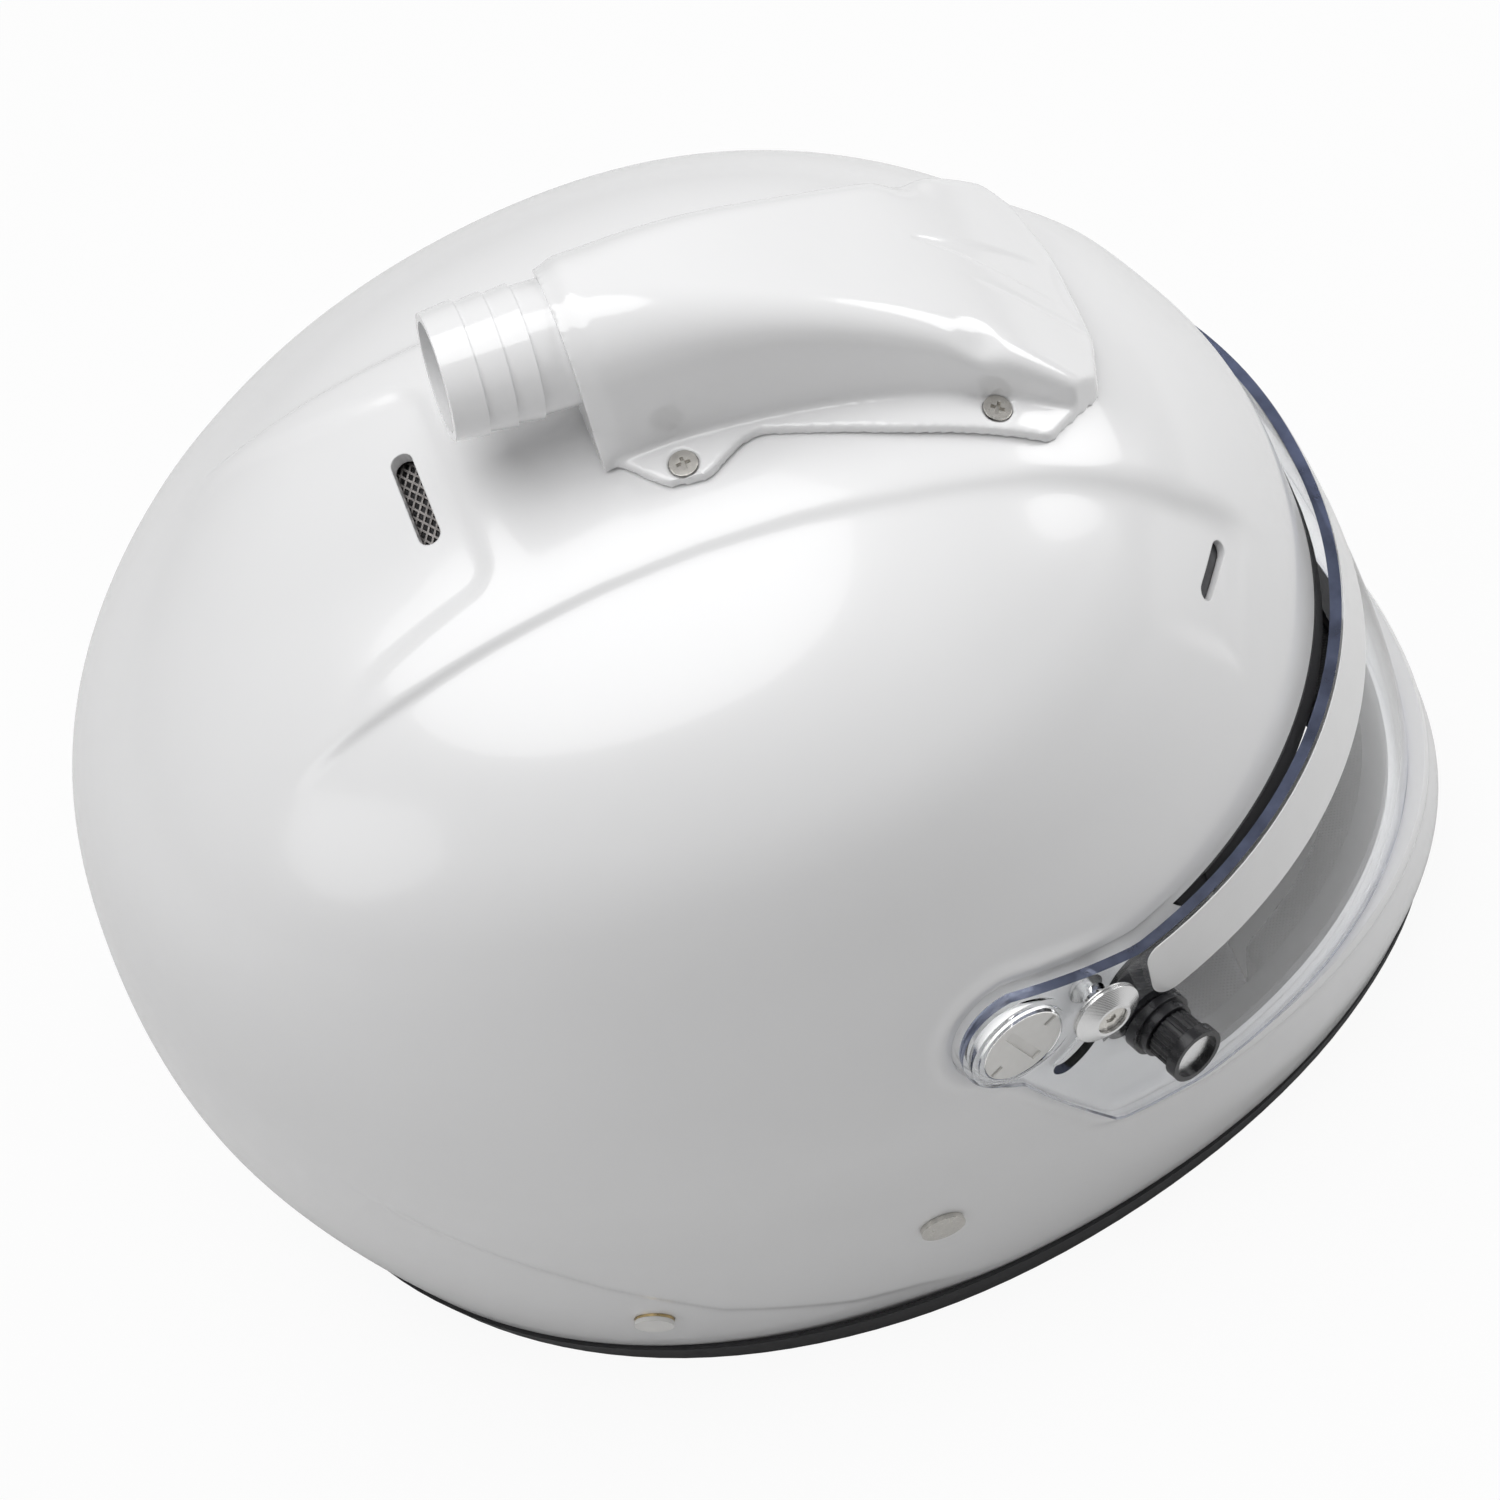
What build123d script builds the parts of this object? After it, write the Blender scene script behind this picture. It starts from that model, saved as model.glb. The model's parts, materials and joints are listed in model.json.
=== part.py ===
from build123d import *
from functools import cache
import math
import os

# An auto racing helmet in millimetres: front toward -Y, wearer's left toward +X, +Z up.
# It stands on its base edge at z = 0, with its bounding box centred over the origin.

# Outer form: reaches of the base edge, from an axis that stands at shell_centre_y
shell_height = 258
front_base_reach = 173
rear_base_reach = 140
half_base_width = 105
shell_centre_y = 4.5
shell_wall = 4.5
base_gap = 1.5

# Shares of those reaches, and powers of the rounded sections, every 15 degrees up to the crown
level_step = 15
front_shares = (0.985, 1.004, 0.994, 1.130, 1.290, 1.555, 1.51)
visor_front_shares = (0.960, 0.987, 1.041, 1.149, 1.295, 1.555, 1.51)
rear_shares = (1.0, 1.193, 1.375, 1.582, 1.771, 2.017, 2.28)
width_shares = (1.0, 1.143, 1.391, 1.595, 1.895, 2.133, 2.143)
front_powers = (1.9, 2.3, 2.12, 1.95, 1.92, 2.0, 2.0)
visor_powers = (1.9, 2.2, 2.15, 2.1, 2.0, 2.0, 2.0)
rear_powers = (2.0, 2.14, 2.16, 2.1, 2.1, 2.1, 2.06)
loft_levels = (-4, 5, 14, 23, 32, 41, 50, 59, 68, 77, 86)
section_points = 28
small_turn = 0.2
overrun = 60

# Visor: a clear shield that turns about one axis across both pivots
visor_thickness = 3
visor_side_gain = 4
recess_gap = 3
recess_margin = 1.5
pivot_y = -24.5
pivot_z = 142.7
arm_radius = 15
visor_top_z = 148
visor_low_front_z = 60
visor_low_side_z = 67
visor_corner_y = -45.5
visor_corner_z = 74.5
visor_corner_radius = 7
visor_low_bend_y = -70
arm_low_turn = 55
arm_step_y = -23
arm_step_z = 125
arm_step_radius = 4
arm_merge_y = -58

# Face opening
eyeport_top_z = 143
eyeport_low_z = 71
eyeport_rear_y = -46
eyeport_lobe_low_z = 116
eyeport_waist_y = -63
eyeport_waist_z = 111
eyeport_low_rear_y = -69
eyeport_low_rear_z = 76
eyeport_corner_radius = 12
eyeport_small_radius = 5

# Rubber edges
gasket_lip = 0.6
gasket_cover = 4
gasket_bead = 2
trim_thickness = 1.2
trim_height = 9

# Visor pivots: the coin disc, its hub, and the stepped boss round it
pivot_lean = 14
pivot_face_x = 129.2
coin_radius = 10.3
coin_edge = 1
coin_clearance = 0.3
coin_slot_width = 2.5
coin_slot_length = 15.5
coin_slot_depth = 0.6
coin_slot_turn = 22
coin_notch_length = 3.2
coin_notch_width = 1.6
hub_radius = 7.5
hub_clearance = 0.3
pivot_shank_radius = 3
pivot_shank_length = 5.3
shank_clearance = 0.15
seat_clearance = 0.05
boss_radius = 13.6
boss_inner_radius = 11.9
boss_step = 0.8
boss_floor = 0.8
boss_clearance = 0.4

# Guide posts, which stand on the shell in the visor's arc slots
post_radius_from_pivot = 19.8
post_rise_angle = 2.5
slot_reach_angle = 66
slot_width = 6
post_shank_radius = 2
post_foot_radius = 4.5
post_foot_clearance = 0.3
post_foot_height = 1.2
post_lift = 3.8
post_disc_radius = 8.8
post_disc_height = 1.4
post_groove_depth = 0.4
post_groove_width = 0.4
post_top_radius = 4.9
post_cone_height = 2.3
post_screw_radius = 3.9
post_screw_depth = 1.8
post_screw_height = 0.9
hex_across = 3

# Visor lock, on the wearer's right
lock_y = -58
lock_z = 120.5
lock_lean = 22
lock_plate_radius = 7.5
lock_plate_thickness = 0.8
lock_tube_radius = 4.6
lock_hole_clearance = 0.2
collar_radius = 8.6
collar_height = 2.4
collar_step_radius = 7.4
collar_step_height = 2.4
knob_gap = 0.3
knob_radius = 6.2
knob_rim_radius = 7.5
knob_rim_height = 3
knob_height = 9.7
knob_shaft_radius = 3
knob_rib_count = 24
knob_rib_radius = 0.35
cap_radius = 6
cap_thickness = 0.8
cap_recess = 1.6
cam_hub_radius = 4
cam_thickness = 0.7
cam_length = 7.5
cam_width = 4.4
cam_clearance = 0.2
catch_gap = 0.4
catch_height = 4
catch_start = 4.2
catch_length = 12
catch_depth = 4.5

# White band along the visor's top
strip_thickness = 0.35
strip_drop = 1.5
strip_low_z = 128
strip_end_y = -59
strip_end_radius = 7

# Forced-air duct on the crown
duct_front_y = -97
duct_rear_y = 21
duct_rise = 46
duct_half_width = 40
duct_wall = 2.5
duct_flange = 3
duct_gasket_thickness = 1
duct_gasket_width = 4
duct_gasket_inset = 1.5
duct_foot_depth = 14
# Each station: place from the rear face, crown rise, half width at the top and foot, corner radius
duct_station_shares = (
    (0.0, 1.0, 0.51, 0.44, 0.44),
    (0.15, 0.945, 0.51, 0.42, 0.40),
    (0.31, 0.83, 0.52, 0.46, 0.30),
    (0.49, 0.63, 0.56, 0.56, 0.24),
    (0.71, 0.30, 0.70, 0.72, 0.20),
    (0.92, -0.21, 0.86, 0.86, 0.10),
    (1.0, -0.45, 0.90, 0.90, 0.08),
)
# Half of the flange's outline from the rear: across, along, and corner radius
flange_half_shares = (
    (0.35, 0.0, 0.10),
    (0.70, 0.10, 0.12),
    (0.74, 0.18, 0.10),
    (0.55, 0.29, 0.25),
    (0.82, 0.56, 0.60),
    (1.03, 0.83, 0.10),
    (0.72, 0.965, 0.10),
    (0.36, 1.0, 0.50),
)
duct_front_screw_x = 33
duct_front_screw_y = -68
duct_rear_screw_x = 25
duct_rear_screw_y = 4
screw_head_radius = 3.4
screw_head_height = 1.8
screw_shank_radius = 1.6
screw_length = 8
screw_cross = 0.9
screw_cross_length = 3.4
air_hole_length = 40
air_hole_width = 22
air_hole_y = -22

# Hose nipple at the duct's rear
nipple_tilt = 6
nipple_z = 286
nipple_length = 29
nipple_radius = 15.1
barb_radius = 15.9
nipple_tip_radius = 15.0
nipple_bore = 13
nipple_root = 5
barb_place_shares = (0.28, 0.5, 0.73)

# Vents
rear_vent_y = 63.5
rear_vent_length = 28
rear_vent_width = 5.5
mesh_margin = 3
mesh_thickness = 0.8
mesh_set_back = 1.6
mesh_gap_length = 2.6
mesh_gap_width = 1.5
mesh_pitch_x = 3.4
mesh_pitch_y = 2.2
front_vent_x = 59.2
front_vent_y = -107.1
front_vent_length = 16.5
front_vent_width = 5
front_vent_turn = 65

# Head-restraint anchors and strap bolts
anchor_y = 78
anchor_z = 32
anchor_insert_radius = 5
anchor_insert_flange = 7
anchor_insert_length = 9
anchor_flange_thickness = 1
anchor_thread_radius = 3
plug_head_radius = 5
plug_head_height = 1.2
plug_shank_radius = 2.9
plug_shank_length = 7
bolt_y = 3
bolt_z = 52.3
bolt_head_radius = 5.8
bolt_head_height = 1.4
bolt_shank_radius = 2.5
bolt_shank_clearance = 0.1

# Liners
liner_clearance = 0.3
crown_liner_thickness = 30
crown_liner_low_z = 102
rear_liner_low_z = 46
rear_liner_front_y = 24
crown_pad_thickness = 11
crown_pad_low_z = 118
chin_liner_thickness = 20
chin_liner_low_z = 14
chin_liner_top_z = 64
chin_liner_rear_y = -92
cheek_pad_low_z = 15
cheek_pad_thickness = 36
neck_roll_low_z = 12
neck_roll_thickness = 32
liner_eyeport_margin = 5

# Chin strap, which lies in the base opening while the helmet stands
strap_width = 24
strap_thickness = 1.6
strap_rest_z = 0.3
strap_side_x = 96
strap_top_z = 60
strap_bend_radius = 6
left_strap_end_x = 34
right_strap_end_x = -14
loop_hole_radius = 3.2
ring_wire = 2.4
ring_width = 31
ring_length = 24
ring_gap = 0.4
ring_corner_radius = 9
snap_radius = 6
snap_height = 2.2
snap_hole_radius = 1.5
snap_inset = 12


def along(table, angle):
    """Smooth value between a table's levels."""
    place = angle / level_step
    index = max(0, min(int(place), len(table) - 2))
    part = place - index
    here = table[index]
    after = table[index + 1]
    before = table[index - 1] if index > 0 else 2 * here - after
    beyond = table[index + 2] if index + 2 < len(table) else 2 * after - here
    slope_here = (after - before) / 2
    slope_after = (beyond - here) / 2
    square = part * part
    cube = square * part
    value = (2 * cube - 3 * square + 1) * here + (3 * square - 2 * cube) * after
    return value + (cube - 2 * square + part) * slope_here + (cube - square) * slope_after


shell_form = (front_shares, front_powers, 0)
visor_form = (visor_front_shares, visor_powers, visor_side_gain)


def form_radius(form, inset, angle, bearing):
    """Distance from the axis to a form at one level; bearing 0 is the rear, 90 the left."""
    fronts, powers, side_gain = form
    shrink = math.cos(math.radians(angle))
    front = (front_base_reach * along(fronts, angle) - inset) * shrink
    rear = (rear_base_reach * along(rear_shares, angle) - inset) * shrink
    half = (half_base_width * along(width_shares, angle) - inset) * shrink + side_gain
    ahead = math.cos(math.radians(bearing))
    across = math.sin(math.radians(bearing))
    blend = ahead * (3 - ahead * ahead) / 2
    reach = (front + rear) / 2 + (rear - front) / 2 * blend
    front_power = along(powers, angle)
    rear_power = along(rear_powers, angle)
    power = (front_power + rear_power) / 2 + (rear_power - front_power) / 2 * blend
    return (abs(ahead / reach) ** power + abs(across / half) ** power) ** (-1 / power)


def form_point(form, inset, angle, bearing):
    radius = form_radius(form, inset, angle, bearing)
    turn = math.radians(bearing)
    height = (shell_height - inset) * math.sin(math.radians(angle))
    return Vector(radius * math.sin(turn), shell_centre_y + radius * math.cos(turn), height)


@cache
def form_solid(form, inset):
    """The closed solid inside a form that is set in from its surface."""
    wires = []
    for angle in loft_levels:
        bearings = [360 * i / section_points for i in range(section_points)]
        points = [form_point(form, inset, angle, bearing) for bearing in bearings]
        wires.append(Wire([Edge.make_spline(points, periodic=True)]))
    return Solid.make_loft(wires)


def surface_plane(x, y, lift=0):
    """A plane that lies on the outer surface over (x, y), facing out."""
    bearing = math.degrees(math.atan2(x, y - shell_centre_y))
    distance = math.hypot(x, y - shell_centre_y)
    low, high = 0, 89
    for _ in range(40):
        middle = (low + high) / 2
        if form_radius(shell_form, -lift, middle, bearing) > distance:
            low = middle
        else:
            high = middle
    return tangent_plane(shell_form, -lift, low, bearing)


def side_bearing(form, inset, y, angle):
    """Bearing of the left side's point at a given y on one level."""
    low, high = 1, 179
    for _ in range(40):
        middle = (low + high) / 2
        if form_point(form, inset, angle, middle).Y > y:
            low = middle
        else:
            high = middle
    return low


def side_plane(form, inset, y, z):
    """A plane on the left side's surface at (y, z), facing out."""
    angle = math.degrees(math.asin(z / (shell_height - inset)))
    return tangent_plane(form, inset, angle, side_bearing(form, inset, y, angle))


def tangent_plane(form, inset, angle, bearing):
    here = form_point(form, inset, angle, bearing)
    upward = form_point(form, inset, angle + small_turn, bearing) - here
    sideways = form_point(form, inset, angle, bearing + small_turn) - here
    return Plane(origin=here, x_dir=sideways, z_dir=upward.cross(sideways))


def rounded_outline(corners):
    """A face bounded by straight runs, each corner rounded by its own radius."""
    edges = []
    starts = []
    ends = []
    middles = []
    for i, (x, y, radius) in enumerate(corners):
        corner = Vector(x, y)
        before = (Vector(*corners[i - 1][:2]) - corner).normalized()
        after = (Vector(*corners[(i + 1) % len(corners)][:2]) - corner).normalized()
        half = math.acos(max(-1, min(1, before.dot(after)))) / 2
        run = radius / math.tan(half)
        starts.append(corner + before * run)
        ends.append(corner + after * run)
        bisector = before + after
        reach = radius / math.sin(half) - radius
        middles.append(corner + bisector.normalized() * reach if radius else corner)
    for i, (x, y, radius) in enumerate(corners):
        following = (i + 1) % len(corners)
        if radius:
            edges.append(Edge.make_three_point_arc(starts[i], middles[i], ends[i]))
        edges.append(Edge.make_line(ends[i], starts[following]))
    return Face(Wire(edges))


def mirrored_corners(half):
    """A whole outline from its right half, listed from rear to front."""
    other = [(-x, y, radius) for x, y, radius in reversed(half)]
    return list(half) + other


def side_prism(outline):
    """Runs right through the helmet from side to side."""
    return extrude(Plane.YZ * outline, amount=shell_height, both=True)


def plan_prism(outline):
    return extrude(Pos(0, 0, shell_height / 2) * outline, amount=shell_height)


def drum(plane, radius, low, high):
    """A round bar along a plane's normal between two heights."""
    return plane * Pos(0, 0, (low + high) / 2) * Cylinder(radius, high - low)


def block(x_range, y_range, z_range):
    centre = [(low + high) / 2 for low, high in (x_range, y_range, z_range)]
    sizes = [high - low for low, high in (x_range, y_range, z_range)]
    return Pos(*centre) * Box(*sizes)


def both_sides(name, solid):
    """The left piece and its mirror image on the right."""
    return {name + "_left": solid, name + "_right": solid.mirror(Plane.YZ)}


# Outlines seen from the side
far_front_y = -front_base_reach - overrun
arm_top_z = pivot_z + arm_radius
arm_low_y = pivot_y + arm_radius * math.cos(math.radians(arm_low_turn))
arm_low_z = pivot_z - arm_radius * math.sin(math.radians(arm_low_turn))
visor_corners = (
    (far_front_y, visor_low_front_z, 0),
    (far_front_y, visor_top_z, 0),
    (arm_merge_y, visor_top_z, arm_radius),
    (pivot_y, arm_top_z, 0),
    (arm_low_y, arm_low_z, 0),
    (arm_step_y, arm_step_z, arm_step_radius),
    (visor_corner_y, visor_corner_z, visor_corner_radius),
    (visor_low_bend_y, visor_low_side_z, arm_radius),
)
visor_outline = rounded_outline(visor_corners) + Pos(pivot_y, pivot_z) * Circle(arm_radius)
eyeport_outline = rounded_outline((
    (far_front_y, eyeport_low_z, 0),
    (far_front_y, eyeport_top_z, 0),
    (eyeport_rear_y, eyeport_top_z, eyeport_corner_radius),
    (eyeport_rear_y, eyeport_lobe_low_z, eyeport_small_radius),
    (eyeport_waist_y, eyeport_waist_z, eyeport_small_radius),
    (eyeport_low_rear_y, eyeport_low_rear_z, eyeport_corner_radius),
))
recess_outline = offset(visor_outline, amount=recess_margin)
recess_depth = visor_thickness + recess_gap


@cache
def outer_room(extra):
    """Everything inside the shell's outer surface, grown by an extra thickness."""
    recess = side_prism(recess_outline) - form_solid(visor_form, recess_depth - extra)
    return form_solid(shell_form, -extra) - recess


@cache
def inner_room(extra):
    """The space inside the shell's wall, less an extra thickness."""
    recess = side_prism(offset(visor_outline, amount=recess_margin + shell_wall + extra))
    recess -= form_solid(visor_form, recess_depth + shell_wall + extra)
    return form_solid(shell_form, shell_wall + extra) - recess


def slot_bar(plane, length, width, depth):
    return extrude(plane * SlotOverall(length, width), amount=depth, both=True)


above_base = block((-shell_height, shell_height), (-shell_height, shell_height),
                   (base_gap, 2 * shell_height))
wall_reach = 2 * shell_wall


# Planes of the fittings on the left side; the right ones are mirror images
pivot_plane = Plane(origin=(0, pivot_y, pivot_z), x_dir=(0, 1, 0), z_dir=(1, 0, 0))
lean = math.radians(pivot_lean)
leaning_out = Vector(math.cos(lean), -math.sin(lean), 0)
coin_plane = Plane(origin=(pivot_face_x, pivot_y, pivot_z), x_dir=(0, 0, 1), z_dir=leaning_out)
coin_inner_x = pivot_face_x - coin_radius * math.tan(lean) - coin_edge
boss_low_x = coin_inner_x - coin_clearance - boss_floor
pocket_x = boss_low_x - boss_clearance
post_turn = math.radians(post_rise_angle)
post_y = pivot_y - post_radius_from_pivot * math.cos(post_turn)
post_z = pivot_z + post_radius_from_pivot * math.sin(post_turn)
post_foot = side_plane(visor_form, 0, post_y, post_z)
post_plane = Plane(origin=post_foot.origin, x_dir=(0, 0, 1), z_dir=leaning_out)
bolt_plane = side_plane(shell_form, 0, bolt_y, bolt_z)
anchor_plane = side_plane(shell_form, 0, anchor_y, anchor_z)
rear_vent_plane = surface_plane(0, rear_vent_y)
front_vent_planes = [surface_plane(side * front_vent_x, front_vent_y) for side in (1, -1)]
duct_screw_places = [(side * duct_front_screw_x, duct_front_screw_y) for side in (1, -1)]
duct_screw_places += [(side * duct_rear_screw_x, duct_rear_screw_y) for side in (1, -1)]
duct_base_lift = duct_gasket_thickness
post_height = post_lift + post_disc_height + post_cone_height
knob_base_height = collar_height + collar_step_height + knob_gap
duct_screw_planes = [surface_plane(x, y, duct_base_lift + duct_flange)
                     for x, y in duct_screw_places]

# The lock stands on the right side, so its plane is a mirror image of the left's
lock_left = side_plane(visor_form, 0, lock_y, lock_z)
lock_turn = math.radians(lock_lean)
lock_origin = Vector(-lock_left.origin.X, lock_left.origin.Y, lock_left.origin.Z)
lock_plane = Plane(origin=lock_origin, x_dir=(0, 0, 1),
                   z_dir=(-math.cos(lock_turn), -math.sin(lock_turn), 0))

air_hole = plan_prism(Pos(0, air_hole_y) * SlotOverall(
    air_hole_length, air_hole_width, rotation=90))


def mirrored(solid):
    return solid.mirror(Plane.YZ)


def make_shell():
    shell = outer_room(0) - inner_room(0)
    shell = shell & above_base
    shell -= side_prism(eyeport_outline)
    shell -= air_hole
    shell -= slot_bar(rear_vent_plane, rear_vent_length, rear_vent_width, wall_reach)
    for plane, side in zip(front_vent_planes, (1, -1)):
        turned = plane * Rot(0, 0, side * front_vent_turn)
        shell -= turned * extrude(SlotOverall(front_vent_length, front_vent_width),
                                  amount=wall_reach, both=True)
    for plane, radius in ((bolt_plane, bolt_shank_radius), (anchor_plane, anchor_insert_radius)):
        hole = drum(plane, radius + bolt_shank_clearance, -wall_reach, wall_reach)
        shell -= hole
        shell -= mirrored(hole)
    shank_hole = drum(pivot_plane, pivot_shank_radius + shank_clearance,
                      pivot_face_x / 2, pivot_face_x)
    pocket = drum(pivot_plane, boss_radius + recess_margin, pocket_x, pivot_face_x)
    for tool in (shank_hole, pocket):
        shell -= tool
        shell -= mirrored(tool)
    for plane in duct_screw_planes:
        shell -= drum(plane, screw_shank_radius + shank_clearance, -screw_length, 0)
    return shell


def make_trim(shell):
    band = block((-shell_height, shell_height), (-shell_height, shell_height),
                 (0, trim_height))
    outer = form_solid(shell_form, -trim_thickness)
    inner = form_solid(shell_form, shell_wall + trim_thickness)
    return ((outer - inner) & band) - shell


def make_gasket(shell):
    ring = side_prism(offset(eyeport_outline, amount=gasket_cover))
    ring -= side_prism(offset(eyeport_outline, amount=-gasket_bead))
    body = outer_room(gasket_lip) - inner_room(gasket_lip)
    gasket = (body & ring) - shell - lock_plane * catch_box(catch_gap)
    foot_room = drum(post_plane, post_foot_radius + post_foot_clearance,
                     -2 * recess_depth - shell_wall, 0)
    lock_reach = pivot_y - lock_y + pivot_z - lock_z
    lock_path = drum(pivot_plane, lock_reach, 0, shell_height) - form_solid(visor_form, recess_depth)
    return gasket - foot_room - mirrored(foot_room) - mirrored(lock_path)


def arc_slot(plane):
    """The visor's slot round the pivot, from the post's place downward."""
    radius = post_radius_from_pivot
    # In this plane x points to the rear and y up, so forward is 180 degrees
    start = 180 - post_rise_angle
    arc = CenterArc((0, 0), radius, start, slot_reach_angle)
    return extrude(plane * SlotArc(arc, slot_width), amount=pivot_face_x * 2)


def make_visor():
    body = form_solid(visor_form, 0) - form_solid(visor_form, visor_thickness)
    body = body & side_prism(visor_outline)
    top_x = pivot_face_x + overrun / 2
    outside = Plane(origin=coin_plane.origin, x_dir=(0, 0, 1), z_dir=leaning_out)
    big = Box(overrun * 2, overrun * 2, overrun, align=(Align.CENTER, Align.CENTER, Align.MIN))
    step = drum(pivot_plane, boss_radius, boss_low_x, top_x) - outside * Pos(0, 0, -boss_step) * big
    rim = drum(pivot_plane, boss_inner_radius, boss_low_x, top_x) - outside * big
    hole = drum(pivot_plane, hub_radius + hub_clearance, pivot_face_x / 2, top_x)
    seat = drum(pivot_plane, coin_radius + coin_clearance, coin_inner_x - coin_clearance, top_x)
    slot = arc_slot(pivot_plane)
    for side in (lambda solid: solid, mirrored):
        body += side(step)
        body += side(rim)
        body -= side(hole)
        body -= side(seat)
        body -= side(slot)
    body -= drum(lock_plane, lock_tube_radius + lock_hole_clearance, -wall_reach, wall_reach)
    return body


def make_strip():
    skin = form_solid(visor_form, -strip_thickness) - form_solid(visor_form, -seat_clearance)
    top_z = visor_top_z - strip_drop
    outline = rounded_outline((
        (far_front_y, strip_low_z, 0),
        (far_front_y, top_z, 0),
        (strip_end_y, top_z, strip_end_radius / 2),
        (strip_end_y, strip_low_z, strip_end_radius),
    ))
    strip = skin & side_prism(outline)
    return strip - drum(lock_plane, collar_radius + lock_hole_clearance, -wall_reach, overrun)


def make_pivot_screw():
    outside = coin_plane * Box(overrun * 2, overrun * 2, overrun,
                               align=(Align.CENTER, Align.CENTER, Align.MIN))
    coin = drum(pivot_plane, coin_radius, coin_inner_x, pivot_face_x + overrun / 2) - outside
    turned = coin_plane * Rot(0, 0, -coin_slot_turn)
    coin -= turned * Box(coin_slot_length, coin_slot_width, 2 * coin_slot_depth)
    notch_place = coin_radius - coin_notch_length / 2
    for side in (1, -1):
        coin -= turned * Pos(0, side * notch_place, 0) * Box(
            coin_notch_width, coin_notch_length, 2 * coin_slot_depth)
    shank = drum(pivot_plane, pivot_shank_radius, coin_inner_x - pivot_shank_length, coin_inner_x)
    return coin + shank


def make_hub():
    floor = form_solid(visor_form, recess_depth - seat_clearance)
    hub = drum(pivot_plane, hub_radius, pivot_face_x / 2, coin_inner_x) - floor
    hub = hub.solids().sort_by(Axis.X)[-1]
    hub += drum(pivot_plane, hub_radius, pocket_x + seat_clearance, coin_inner_x)
    return hub - drum(pivot_plane, pivot_shank_radius + shank_clearance, 0, pivot_face_x)


def make_post():
    floor = form_solid(visor_form, recess_depth - seat_clearance)
    shank = drum(post_plane, post_shank_radius, -recess_depth * 2, post_lift)
    foot_reach = visor_thickness + recess_gap - post_foot_height
    foot = drum(post_plane, post_foot_radius, -recess_depth * 2, -foot_reach)
    disc = drum(post_plane, post_disc_radius, post_lift, post_lift + post_disc_height)
    groove = drum(post_plane, post_disc_radius + post_groove_depth,
                  post_lift + post_groove_width, post_lift + post_disc_height - post_groove_width)
    groove -= drum(post_plane, post_disc_radius - post_groove_depth, 0, post_height)
    cone = post_plane * Pos(0, 0, post_height - post_cone_height / 2) * Cone(
        post_disc_radius, post_top_radius, post_cone_height)
    head = disc - groove + cone
    head -= drum(post_plane, post_screw_radius + shank_clearance,
                 post_height - post_screw_depth, post_height)
    post = (shank + foot - floor).solids().sort_by(Axis.X)[-1]
    return post + head


def make_post_screw():
    low = post_height - post_screw_depth
    head = drum(post_plane, post_screw_radius, low, low + post_screw_height)
    socket = post_plane * Pos(0, 0, low + post_screw_height) * extrude(
        RegularPolygon(hex_across / 2, 6), amount=post_screw_height / 2, both=True)
    return head - socket


def make_lock_base():
    """The plate behind the visor, the tube through it, and the stepped collar outside."""
    behind = visor_thickness + cam_clearance / 2
    plate_low = -behind - lock_plate_thickness
    plate = drum(lock_plane, lock_plate_radius, plate_low, 0) & form_solid(visor_form, behind)
    tube = drum(lock_plane, lock_tube_radius, plate_low, collar_height)
    collar = drum(lock_plane, collar_radius, -visor_thickness, collar_height)
    collar -= form_solid(visor_form, -seat_clearance)
    step = drum(lock_plane, collar_step_radius, collar_height,
                collar_height + collar_step_height)
    bore = drum(lock_plane, knob_shaft_radius + shank_clearance, 2 * plate_low,
                collar_height * 2 + collar_step_height)
    return plate + tube + collar + step - bore


def make_knob():
    low = knob_base_height
    top = low + knob_height
    body = drum(lock_plane, knob_radius, low, top - knob_rim_height)
    body += drum(lock_plane, knob_rim_radius, top - knob_rim_height, top)
    body -= drum(lock_plane, cap_radius + seat_clearance,
                 top - cap_recess - cap_thickness, top)
    for i in range(knob_rib_count):
        turn = 2 * math.pi * i / knob_rib_count
        rib = lock_plane * Pos(knob_radius * math.cos(turn), knob_radius * math.sin(turn),
                               low + (knob_height - knob_rim_height) / 2)
        body += rib * Cylinder(knob_rib_radius, knob_height - knob_rim_height)
    shaft_low = -visor_thickness - lock_plate_thickness - 2 * cam_clearance
    return body + drum(lock_plane, knob_shaft_radius, shaft_low, low)


def make_cap():
    top = knob_base_height + knob_height - cap_recess
    return drum(lock_plane, cap_radius, top - cap_thickness, top)


def make_cam():
    high = -visor_thickness - lock_plate_thickness - 2 * cam_clearance
    low = high - cam_thickness
    hub = drum(lock_plane, cam_hub_radius, low, high)
    tongue = lock_plane * Pos(-cam_length / 2, 0, (low + high) / 2) * Box(
        cam_length, cam_width, cam_thickness)
    return hub + tongue


def catch_box(margin):
    """The catch in the lock's plane: x up, y to the rear there."""
    high = -visor_thickness - lock_plate_thickness - 3 * cam_clearance
    low = high - catch_depth
    bottom = cam_width / 2 + catch_gap
    return block((bottom - margin, bottom + catch_height + margin),
                 (catch_start - margin, catch_start + catch_length + margin),
                 (low - margin, high + margin))


def make_catch(shell):
    return lock_plane * catch_box(0) - behind_eyeport() - shell


def behind_eyeport():
    """Everything behind the face opening's rear edge."""
    return block((-shell_height, shell_height),
                 (eyeport_rear_y + gasket_bead, shell_height), (0, shell_height))


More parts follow.
